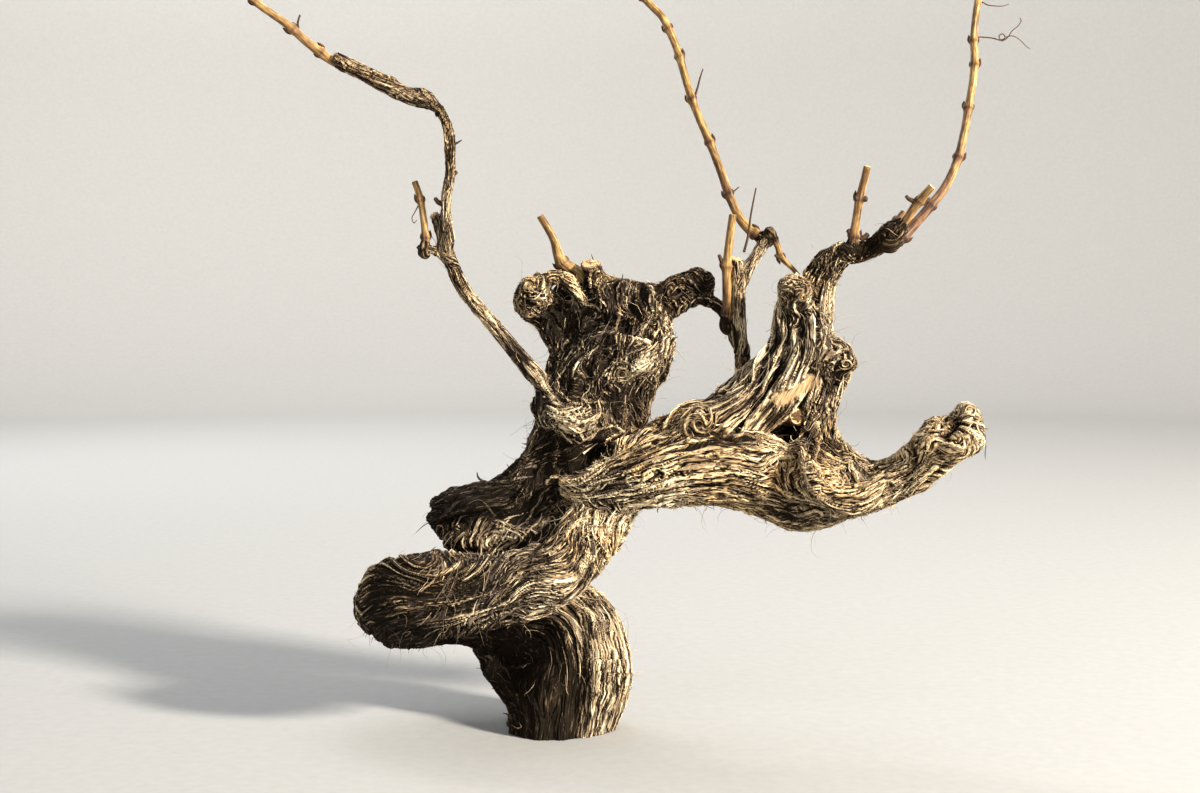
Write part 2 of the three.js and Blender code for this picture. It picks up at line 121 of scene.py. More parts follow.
CANES = [
    "head_spur_cane",
    "middle_spur_cane",
    "middle_cane",
    "middle_side_cane",
    "right_upright_spur",
    "right_short_spur",
    "right_second_spur",
    "right_cane",
    "left_cane",
    "left_spur_cane",
]

# How each old limb's bark lies. pale: 0 grey-brown to 1 bleached straw, with painted light and shade in it: limbs that
# lie in shade, such as the heel, the knuckle's underside, the back elbow, the loop's left turns and the backs of the
# hollows, are
# set dark, and the sunlit front arm, right lower arm and middle stem are set paler. rough: depth of the relief in mm.
# strip:
# width and length of the bark strips in mm. twist: turn of the grain in radians per metre. wave: how far the grain
# wanders.
# gnarl: depth of the lumps in mm. shag: how many loose strips.
BARK = {
    "trunk_foot": dict(pale=0.80, rough=1.0, strip=(5.2, 90), twist=3.0, wave=0.50, gnarl=2.60, shag=1.0),
    # the heel stands in the dark under the loop: its near-black bark is painted shade
    "trunk_heel": dict(pale=0.06, rough=1.0, strip=(5, 80), twist=2.0, wave=0.60, gnarl=5.0, shag=0.7),
    "trunk_low_bend": dict(pale=0.24, rough=1.0, strip=(5, 84), twist=3.0, wave=0.60, gnarl=3.20, shag=0.9),
    "trunk_left_turn": dict(pale=0.24, rough=1.0, strip=(4.8, 84), twist=3.0, wave=0.60, gnarl=3.00, shag=0.9),
    "trunk_upper_sweep": dict(pale=0.64, rough=1.05, strip=(5, 90), twist=3.0, wave=0.70, gnarl=3.00, shag=1.1),
    "back_elbow": dict(pale=0.08, rough=0.9, strip=(5, 80), twist=1.5, wave=0.7, gnarl=3.5, shag=0.6),
    "knuckle_underside": dict(pale=0.08, rough=0.9, strip=(4.6, 50), twist=2.0, wave=0.70, gnarl=3.0, shag=0.5),
    "left_trunk": dict(pale=0.30, rough=1.1, strip=(4.4, 62), twist=5.0, wave=1.80, gnarl=4.60, shag=1.3),
    "torso_collar": dict(pale=0.72, rough=1.0, strip=(3.6, 34), twist=6.0, wave=2.4, gnarl=3.0, shag=1.3),
    "head_left_knob": dict(pale=0.56, rough=1.0, strip=(3.8, 36), twist=9.0, wave=2.4, gnarl=4.5, shag=1.0),
    "head_left_strand": dict(pale=0.80, rough=0.7, strip=(3.4, 40), twist=4.0, wave=1.2, gnarl=1.5, shag=0.8),
    "head_cut_stump": dict(pale=0.80, rough=0.8, strip=(3.6, 40), twist=1.0, wave=0.50, gnarl=1.5, shag=0.8),
    "head_right_arm": dict(pale=0.22, rough=1.1, strip=(4.0, 36), twist=7.0, wave=2.4, gnarl=4.5, shag=0.9),
    "head_hollow_back": dict(pale=0.22, rough=0.6, strip=(3.6, 60), twist=1.0, wave=0.8, gnarl=1.5, shag=0.2),
    "head_neck": dict(pale=0.16, rough=0.5, strip=(3.2, 30), twist=3.0, wave=1.2, gnarl=1.2, shag=0.3),
    "middle_stem": dict(pale=0.96, rough=0.42, strip=(2.9, 70), twist=1.2, wave=0.5, gnarl=1.0, shag=0.4),
    "middle_fork": dict(pale=0.86, rough=0.42, strip=(2.9, 60), twist=1.5, wave=0.5, gnarl=1.0, shag=0.4),
    "front_arm": dict(pale=0.96, rough=1.15, strip=(4.8, 60), twist=1.2, wave=0.90, gnarl=3.00, shag=1.6),
    "front_arm_strand": dict(pale=0.80, rough=1.0, strip=(4.4, 70), twist=4.0, wave=0.90, gnarl=3.0, shag=1.2),
    "right_bend": dict(pale=0.88, rough=1.0, strip=(4.8, 70), twist=2.0, wave=0.70, gnarl=2.50, shag=1.2),
    "right_rising_arm": dict(pale=0.80, rough=1.0, strip=(5.4, 120), twist=5.50, wave=0.40, gnarl=3.20, shag=0.9),
    "right_column": dict(pale=0.80, rough=1.15, strip=(4.6, 70), twist=3.0, wave=0.90, gnarl=3.00, shag=2.0),
    "right_hollow_back": dict(pale=0.2, rough=0.9, strip=(4.2, 50), twist=2.0, wave=1.2, gnarl=2.5, shag=0.3),
    "right_burl": dict(pale=0.74, rough=1.1, strip=(4.0, 36), twist=7.0, wave=2.4, gnarl=4.0, shag=1.6),
    "right_lower_arm": dict(pale=1.02, rough=0.95, strip=(4.6, 44), twist=4.0, wave=1.3, gnarl=4.0, shag=1.0),
    "right_knob": dict(pale=0.85, rough=1.0, strip=(3.8, 34), twist=8.0, wave=2.6, gnarl=3.5, shag=0.8),
    "right_upper_arm": dict(pale=0.30, rough=0.8, strip=(3.4, 34), twist=4.0, wave=1.8, gnarl=2.6, shag=0.7),
    "left_arm_lower": dict(pale=0.80, rough=0.42, strip=(2.8, 80), twist=2.0, wave=0.5, gnarl=1.0, shag=0.5),
    "left_arm_rise": dict(pale=0.78, rough=0.40, strip=(2.7, 60), twist=1.5, wave=0.6, gnarl=1.80, shag=0.4),
    "left_arm_reach": dict(pale=0.74, rough=0.42, strip=(2.7, 50), twist=2.0, wave=0.8, gnarl=1.80, shag=0.4),
    "right_turn": dict(pale=0.96, rough=1.0, strip=(4.6, 90), twist=1.0, wave=0.4, gnarl=1.5, shag=1.4),
    "right_root": dict(pale=0.80, rough=1.0, strip=(4.0, 60), twist=1.0, wave=0.4, gnarl=1.4, shag=1.0),
    "stump_skirt": dict(pale=0.72, rough=1.0, strip=(3.6, 70), twist=0.5, wave=0.3, gnarl=1.0, shag=0.8),
    "torso_fan": dict(pale=0.98, rough=0.8, strip=(4.2, 60), twist=1.0, wave=0.5, gnarl=1.2, shag=1.2),
    "head_block": dict(pale=0.30, rough=1.0, strip=(4.4, 40), twist=1.0, wave=1.0, gnarl=3.0, shag=0.8),
    "left_elbow_knob": dict(pale=0.62, rough=0.6, strip=(3.0, 20), twist=6.0, wave=1.4, gnarl=2.4, shag=0.3),
    "left_reach_knob": dict(pale=0.62, rough=0.6, strip=(3.0, 20), twist=6.0, wave=1.4, gnarl=2.0, shag=0.3),
    "left_spur": dict(pale=0.66, rough=0.40, strip=(2.7, 30), twist=2.0, wave=1.0, gnarl=1.0, shag=0.3),
}
ROUND_STARTS = {"front_arm", "torso_collar", "head_left_strand", "knuckle_underside", "head_hollow_back", "torso_fan", "head_block", "stump_skirt"}
# how deep the long cords of a limb's bark are, where not 1
CORD = {"right_rising_arm": 1.8, "right_column": 1.3, "front_arm_strand": 1.3, "trunk_foot": 1.2, "right_turn": 1.5, "torso_fan": 0.7}
FLAT_ENDS = {"head_cut_stump", "middle_stem", "left_arm_lower", "left_arm_reach"}


# ------------------------------------------------------------------ noise, all seeded
def _table(seed):
    r = np.random.RandomState(seed)
    g = r.normal(size=(256, 3))
    return g / np.linalg.norm(g, axis=1)[:, None], r.rand(256, 4)


_perm = np.random.RandomState(SEED).permutation(256).astype(np.int64)
_perm = np.concatenate([_perm, _perm, _perm])
_tables = {}


def _hash(i, j, k):
    return _perm[_perm[_perm[i & 255] + (j & 255)] + (k & 255)]


def perlin(p, seed=0):
    """Gradient noise of points (n, 3), about -1 to 1."""
    if seed not in _tables:
        _tables[seed] = _table(SEED + 31 * seed)
    grads = _tables[seed][0]
    i = np.floor(p).astype(np.int64)
    f = p - i
    u = f * f * f * (f * (f * 6 - 15) + 10)
    out = np.zeros(len(p))
    for a in (0, 1):
        wa = u[:, 0] if a else 1 - u[:, 0]
        for b in (0, 1):
            wb = wa * (u[:, 1] if b else 1 - u[:, 1])
            for c in (0, 1):
                w = wb * (u[:, 2] if c else 1 - u[:, 2])
                g = grads[_hash(i[:, 0] + a + seed * 7, i[:, 1] + b, i[:, 2] + c)]
                out += w * (g[:, 0] * (f[:, 0] - a) + g[:, 1] * (f[:, 1] - b) + g[:, 2] * (f[:, 2] - c))
    return out * 1.6


def fbm(p, octaves=3, seed=0):
    out, amp = np.zeros(len(p)), 1.0
    for o in range(octaves):
        out += amp * perlin(p * 2.03**o + 17.3 * o, seed + o)
        amp *= 0.5
    return out


def cells(p, seed=0):
    """Worley noise: (nearest distance, second less nearest, the cell's random numbers, offset to its point)."""
    if seed not in _tables:
        _tables[seed] = _table(SEED + 31 * seed)
    rnd = _tables[seed][1]
    i = np.floor(p).astype(np.int64)
    n = len(p)
    f1, f2 = np.full(n, 9.0), np.full(n, 9.0)
    ident = np.zeros(n, np.int64)
    off = np.zeros((n, 3))
    for a in (-1, 0, 1):
        for b in (-1, 0, 1):
            for c in (-1, 0, 1):
                h = _hash(i[:, 0] + a + seed * 13, i[:, 1] + b, i[:, 2] + c)
                q = rnd[h, :3]
                d = np.stack([i[:, 0] + a + q[:, 0], i[:, 1] + b + q[:, 1], i[:, 2] + c + q[:, 2]], 1) - p
                r = (d * d).sum(1)
                near = r < f1
                f2 = np.where(near, f1, np.minimum(f2, r))
                f1 = np.where(near, r, f1)
                ident = np.where(near, h, ident)
                off[near] = d[near]
    return np.sqrt(f1), np.sqrt(f2) - np.sqrt(f1), rnd[ident], off


def smooth(a, b, x):
    t = np.clip((x - a) / (b - a), 0, 1)
    return t * t * (3 - 2 * t)


# ------------------------------------------------------------------ a limb's course
def catmull(points, n):
    """n samples of the uniform Catmull-Rom curve through rows of numbers."""
    p = np.asarray(points, float)
    p = np.vstack([2 * p[0] - p[1], p, 2 * p[-1] - p[-2]])
    t = np.linspace(0, len(p) - 3, n)
    i = np.minimum(t.astype(int), len(p) - 4)
    f = (t - i)[:, None]
    a, b, c, d = p[i], p[i + 1], p[i + 2], p[i + 3]
    return 0.5 * (2 * b + (c - a) * f + (2 * a - 5 * b + 4 * c - d) * f**2 + (3 * b - a - 3 * c + d) * f**3)


class Course:
    """A limb's centre line in metres, resampled evenly, with radii and a frame that doesn't spin."""

    def __init__(self, stations, step=0.003, turn=None):
        raw = catmull(stations, 60 * len(stations))
        raw[:, 3] = np.maximum(raw[:, 3], 1.0)
        raw /= 1000.0
        s = np.concatenate([[0], np.cumsum(np.linalg.norm(np.diff(raw[:, :3], axis=0), axis=1))])
        self.length = s[-1]
        n = max(6, int(self.length / step))
        self.s = np.linspace(0, self.length, n)
        rows = np.stack([np.interp(self.s, s, raw[:, k]) for k in range(4)], 1)
        self.p, self.r = rows[:, :3], rows[:, 3]
        t = np.gradient(self.p, axis=0)
        self.t = t / np.linalg.norm(t, axis=1)[:, None]
        side = np.array([0, 0, 1.0]) if abs(self.t[0, 2]) < 0.9 else np.array([1.0, 0, 0])
        if turn is not None:
            side = turn
        self.u = np.zeros_like(self.p)
        for k in range(n):
            side = side - self.t[k] * (side @ self.t[k])
            side = side / np.linalg.norm(side)
            self.u[k] = side
        self.v = np.cross(self.t, self.u)
        # bend at each sample, smoothed over about a radius
        bend = np.gradient(self.t, axis=0) / max(1e-6, self.length / n)
        w = max(1, int(0.6 * self.r.mean() / (self.length / n)))
        ker = np.ones(2 * w + 1) / (2 * w + 1)
        self.bend = np.stack([np.convolve(np.pad(bend[:, k], w, mode="edge"), ker, "valid") for k in range(3)], 1)


trunk_stations = list(GUIDES["trunk_foot"])
for name in TRUNK[1:]:
    trunk_stations += GUIDES[name][1:]
COURSES = {"trunk": Course(trunk_stations)}
for name, guide in GUIDES.items():
    if name not in TRUNK:
        COURSES[name] = Course(guide)
OLD = ["trunk"] + [n for n in GUIDES if n not in TRUNK and n not in CANES]

# The trunk's stations carry the bark of the section that they belong to.
trunk_bark_at = []
for name in TRUNK:
    trunk_bark_at += [name] * (len(GUIDES[name]) - (0 if name == "trunk_foot" else 1))


def bark_of(limb, s):
    """A limb's bark numbers at the distances s along it, as a dict of arrays."""
    c = COURSES[limb]
    if limb != "trunk":
        b = BARK[limb]
        one = np.ones(len(s))
        return {k: (b[k] * one if k != "strip" else (b[k][0] * one, b[k][1] * one)) for k in b}
    at = np.linspace(0, c.length, len(trunk_bark_at))
    get = lambda f: np.interp(s, at, [f(BARK[n]) for n in trunk_bark_at])
    out = {k: get(lambda b, k=k: b[k]) for k in BARK["trunk_foot"] if k != "strip"}
    out["strip"] = (get(lambda b: b["strip"][0]), get(lambda b: b["strip"][1]))
    return out


# ------------------------------------------------------------------ mesh helpers
def new_object(name, verts, faces, smooth_shade=True):
    me = bpy.data.meshes.new(name)
    verts = np.asarray(verts, np.float32)
    faces = [np.asarray(f, np.int32) for f in (faces if isinstance(faces, list) else [faces]) if len(f)]
    me.vertices.add(len(verts))
    me.vertices.foreach_set("co", verts.ravel())
    loops = np.concatenate([f.ravel() for f in faces])
    sizes = np.concatenate([np.full(len(f), f.shape[1]) for f in faces])
    me.loops.add(len(loops))
    me.loops.foreach_set("vertex_index", loops.astype(np.int32))
    me.polygons.add(len(sizes))
    starts = np.concatenate([[0], np.cumsum(sizes)[:-1]]).astype(np.int32)
    me.polygons.foreach_set("loop_start", starts)
    me.polygons.foreach_set("loop_total", sizes.astype(np.int32))
    me.polygons.foreach_set("use_smooth", np.full(len(sizes), smooth_shade))
    me.update(calc_edges=True)
    me.validate()
    ob = bpy.data.objects.new(name, me)
    bpy.context.scene.collection.objects.link(ob)
    return ob


def co_of(me):
    co = np.zeros(len(me.vertices) * 3, np.float32)
    me.vertices.foreach_get("co", co)
    return co.reshape(-1, 3).astype(float)


def normals_of(me):
    no = np.zeros(len(me.vertices) * 3, np.float32)
    me.vertex_normals.foreach_get("vector", no)
    return no.reshape(-1, 3).astype(float)


def quads_of(me):
    """Loop vertices of each polygon of a mesh that is all quads."""
    lv = np.zeros(len(me.loops), np.int32)
    me.loops.foreach_get("vertex_index", lv)
    return lv.reshape(-1, 4)


def tube(course, sides, lobes=None, spacing=None, round_start=False, round_end=False, grow=0.0):
    """Vertices and faces of a closed tube round a course."""
    step = spacing or 0.004
    n = max(4, int(course.length / step) + 1)
    k = np.linspace(0, len(course.s) - 1, n)
    pick = lambda a: np.stack([np.interp(k, np.arange(len(a)), a[:, j]) for j in range(a.shape[1])], 1)
    p, t, u, bend = pick(course.p), pick(course.t), pick(course.u), pick(course.bend)
    r, s = np.interp(k, np.arange(len(course.r)), course.r), np.interp(k, np.arange(len(course.s)), course.s)
    outs = [(p, t, u, bend, r, s)]
    if round_start:
        e = np.array([0.95, 0.85, 0.65, 0.4, 0.2])
        outs.insert(0, tuple(np.repeat(a[:1], 5, 0) if a.ndim > 1 else np.repeat(a[:1], 5) for a in outs[0]))
        q = list(outs[0])
        q[0] = q[0] - q[1] * (e * 0.75 * r[0])[:, None]
        q[4] = q[4] * np.sqrt(1 - e**2)
        outs[0] = tuple(q)
    if round_end:
        e = np.array([0.2, 0.4, 0.65, 0.85, 0.95])
        last = outs[-1] if not round_start else outs[1]
        q = [np.repeat(a[-1:], 5, 0) if a.ndim > 1 else np.repeat(a[-1:], 5) for a in last]
        q[0] = q[0] + q[1] * (e * 0.75 * r[-1])[:, None]
        q[4] = q[4] * np.sqrt(1 - e**2)
        outs.append(tuple(q))
    p, t, u, bend, r, s = (np.concatenate([o[j] for o in outs]) for j in range(6))
    u = u - t * (u * t).sum(1)[:, None]
    u /= np.linalg.norm(u, axis=1)[:, None]
    v = np.cross(t, u)
    a = np.linspace(0, 2 * np.pi, sides, endpoint=False)
    rr = (r[:, None] + grow) * np.ones(sides)[None]
    if lobes is not None:
        rr = rr * lobes(a[None, :], s[:, None])
    w = rr[..., None] * (np.cos(a)[None, :, None] * u[:, None] + np.sin(a)[None, :, None] * v[:, None])
    inward = (w * bend[:, None]).sum(-1)
    w = np.where((inward > 0.75)[..., None], w * (0.75 / np.maximum(inward, 0.75))[..., None], w)
    verts = (p[:, None] + w).reshape(-1, 3)
    m, i = len(p), np.arange(len(p) - 1)[:, None] * sides
    j = np.arange(sides)[None]
    k = (j + 1) % sides
    quads = np.stack([i + j, i + k, i + sides + k, i + sides + j], -1).reshape(-1, 4)
    verts = np.vstack([verts, p[:1] - t[:1] * 1e-5, p[-1:] + t[-1:] * 1e-5])
    base, top = m * sides, m * sides + 1
    jj = np.arange(sides)
    kk = (jj + 1) % sides
    caps = np.concatenate(
        [
            np.stack([np.full(sides, base), kk, jj], 1),
            np.stack([np.full(sides, top), (m - 1) * sides + jj, (m - 1) * sides + kk], 1),
        ]
    )
    return verts, [quads, caps]


def joined(parts):
    """Vertices and faces of several (verts, [faces, ...]) as one."""
    verts, by_size, at = [], {}, 0
    for v, fs in parts:
        verts.append(v)
        for f in fs:
            by_size.setdefault(f.shape[1], []).append(f + at)
        at += len(v)
    return np.vstack(verts), [np.concatenate(f) for f in by_size.values()]


# ------------------------------------------------------------------ the old wood's body: all limbs as one skin
VOXEL = 0.0034


def lobes_of(phase, depth):
    def f(a, s):
        turn = 6.0 * s
        return 1 + depth * (0.6 * np.cos(3 * a + phase + turn) + 0.4 * np.cos(5 * a - 1.7 * phase + 2 * turn))

    return f


parts = []
for n, limb in enumerate(OLD):
    c = COURSES[limb]
    fat = c.r.max() > 0.009
    parts.append(
        tube(
            c,
            40 if c.r.max() > 0.02 else 24,
            lobes_of(1.3 * (n + 3) if n else 0.0, (0.07 if n else 0.04) if fat else 0.02),
            spacing=0.004,
            grow=-0.0016 if fat else 0.0021,
            round_start=limb in ROUND_STARTS,
            round_end=limb != "trunk" and limb not in FLAT_ENDS,
        )
    )
verts, faces = joined(parts)
body = new_object("body_tmp", verts, faces)
mod = body.modifiers.new("skin", "REMESH")
mod.mode = "VOXEL"
mod.voxel_size = VOXEL
mod.adaptivity = 0.0
me = bpy.data.meshes.new_from_object(body.evaluated_get(bpy.context.evaluated_depsgraph_get()))
bpy.data.objects.remove(body)


def relax(co, quads, rounds, weight=None, floor=True):
    """Moves each vertex towards the mean of its neighbours along the quads' edges."""
    e = np.concatenate([quads[:, [0, 1]], quads[:, [1, 2]], quads[:, [2, 3]], quads[:, [3, 0]]])
    n = len(co)
    count = np.bincount(e[:, 0], minlength=n) + np.bincount(e[:, 1], minlength=n)
    count = np.maximum(count, 1)
    for _ in range(rounds):
        mean = np.stack(
            [
                np.bincount(e[:, 0], co[e[:, 1], k], n) + np.bincount(e[:, 1], co[e[:, 0], k], n)
                for k in range(3)
            ],
            1,
        ) / count[:, None]
        w = 0.5 if weight is None else 0.5 * weight[:, None]
        co = co + (mean - co) * w
    return co


co, quads = co_of(me), quads_of(me)
co = relax(co, quads, 5)
me.vertices.foreach_set("co", co.astype(np.float32).ravel())
me.update()


# ------------------------------------------------------------------ where a point lies on its limbs
def limb_coords(P, reach=1.75):
    """For each point its best two limbs: limb, s, cos, sin, radius, sample; their weights; how far off each is."""
    n = len(P)
    best = np.full((2, n), 9.0)
    data = np.zeros((2, n, 6))
    for li, limb in enumerate(OLD):
        c = COURSES[limb]
        lo, hi = (c.p - c.r[:, None] * reach).min(0), (c.p + c.r[:, None] * reach).max(0)
        idx = np.where(((P >= lo) & (P <= hi)).all(1))[0]
        if not len(idx):
            continue
        for part in np.array_split(idx, max(1, len(idx) // 40000)):
            q = P[part]
            d = np.linalg.norm(q[:, None] - c.p[None, ::2], axis=2) / c.r[None, ::2]
            k = 2 * d.argmin(1)
            along = ((q - c.p[k]) * c.t[k]).sum(1)
            s = np.clip(c.s[k] + along, 0, c.length)
            kk = np.clip(np.rint(s / c.length * (len(c.s) - 1)).astype(int), 0, len(c.s) - 1)
            rel = q - c.p[kk]
            over = (rel * c.t[kk]).sum(1)
            x, y = (rel * c.u[kk]).sum(1), (rel * c.v[kk]).sum(1)
            flat = rel - c.t[kk] * over[:, None]
            rad = np.maximum(1e-6, np.hypot(x, y))
            miss = np.abs(np.linalg.norm(rel, axis=1) / c.r[kk] - 1.0)
            row = np.stack([np.full(len(part), li), c.s[kk] + over, x / rad, y / rad, np.linalg.norm(flat, axis=1), kk], 1)
            first = miss < best[0, part]
            second = ~first & (miss < best[1, part])
            a, b = part[first], part[second]
            best[1, a], data[1, a] = best[0, a], data[0, a]
            best[0, a], data[0, a] = miss[first], row[first]
            best[1, b], data[1, b] = miss[second], row[second]
    second = 0.5 * (1 - smooth(0.0, 0.09, best[1] - best[0]))
    return data, np.stack([1 - second, second]), best


GIRTH = {limb: float(np.median(COURSES[limb].r)) for limb in OLD}
KEYS = ("pale", "rough", "twist", "wave", "gnarl", "shag")


def per_vertex(data):
    """Each point's limb frame, limb radius and bark numbers."""
    n = len(data)
    out = {k: np.zeros(n) for k in KEYS + ("wide", "long", "r", "girth", "cord")}
    T, U, V = np.zeros((n, 3)), np.zeros((n, 3)), np.zeros((n, 3))
    for li, limb in enumerate(OLD):
        idx = np.where(data[:, 0] == li)[0]
        if not len(idx):
            continue
        c = COURSES[limb]
        k = data[idx, 5].astype(int)
        b = bark_of(limb, data[idx, 1])
        for key in KEYS:
            out[key][idx] = b[key]
        out["wide"][idx], out["long"][idx] = 0.88 * b["strip"][0] / 1000, b["strip"][1] / 1000
        out["r"][idx] = c.r[k]
        out["girth"][idx] = GIRTH[limb]
        out["cord"][idx] = CORD.get(limb, 1.0)
        T[idx], U[idx], V[idx] = c.t[k], c.u[k], c.v[k]
    out["T"], out["U"], out["V"] = T, U, V
    return out


def grain_at(points, normals):
    """The way the grain runs at some points of the surface."""
    d = limb_coords(points)[0][0]
    v = per_vertex(d)
    th = v["V"] * d[:, 2:3] - v["U"] * d[:, 3:4]
    f = v["T"] - th * (v["twist"] * np.minimum(d[:, 4], 1.3 * v["r"]))[:, None]
    f -= normals * (f * normals).sum(1)[:, None]
    return f / np.maximum(1e-6, np.linalg.norm(f, axis=1))[:, None]


# ------------------------------------------------------------------ the view, and places found through it
EYE = np.array([0.0455, -2.133, 0.573])
TILT = math.radians(3.83)
FOCAL = 50 / 36 * 1200


def ray(u, v):
    du, dv = (u - 600) / FOCAL, (v - 396.5) / FOCAL
    d = np.array([du, math.cos(TILT) - dv * math.sin(TILT), -math.sin(TILT) - dv * math.cos(TILT)])
    return d / np.linalg.norm(d)


def at_depth(u, v, y):
    d = ray(u, v)
    return EYE + d * ((y - EYE[1]) / d[1])


coarse = BVHTree.FromPolygons([tuple(p) for p in co], [tuple(int(i) for i in q) for q in quads])


def on_bark(u, v):
    p, n, _, _ = coarse.ray_cast(Vector(EYE), Vector(ray(u, v)))
    if p is None:
        return None
    return np.array(p), np.array(n)
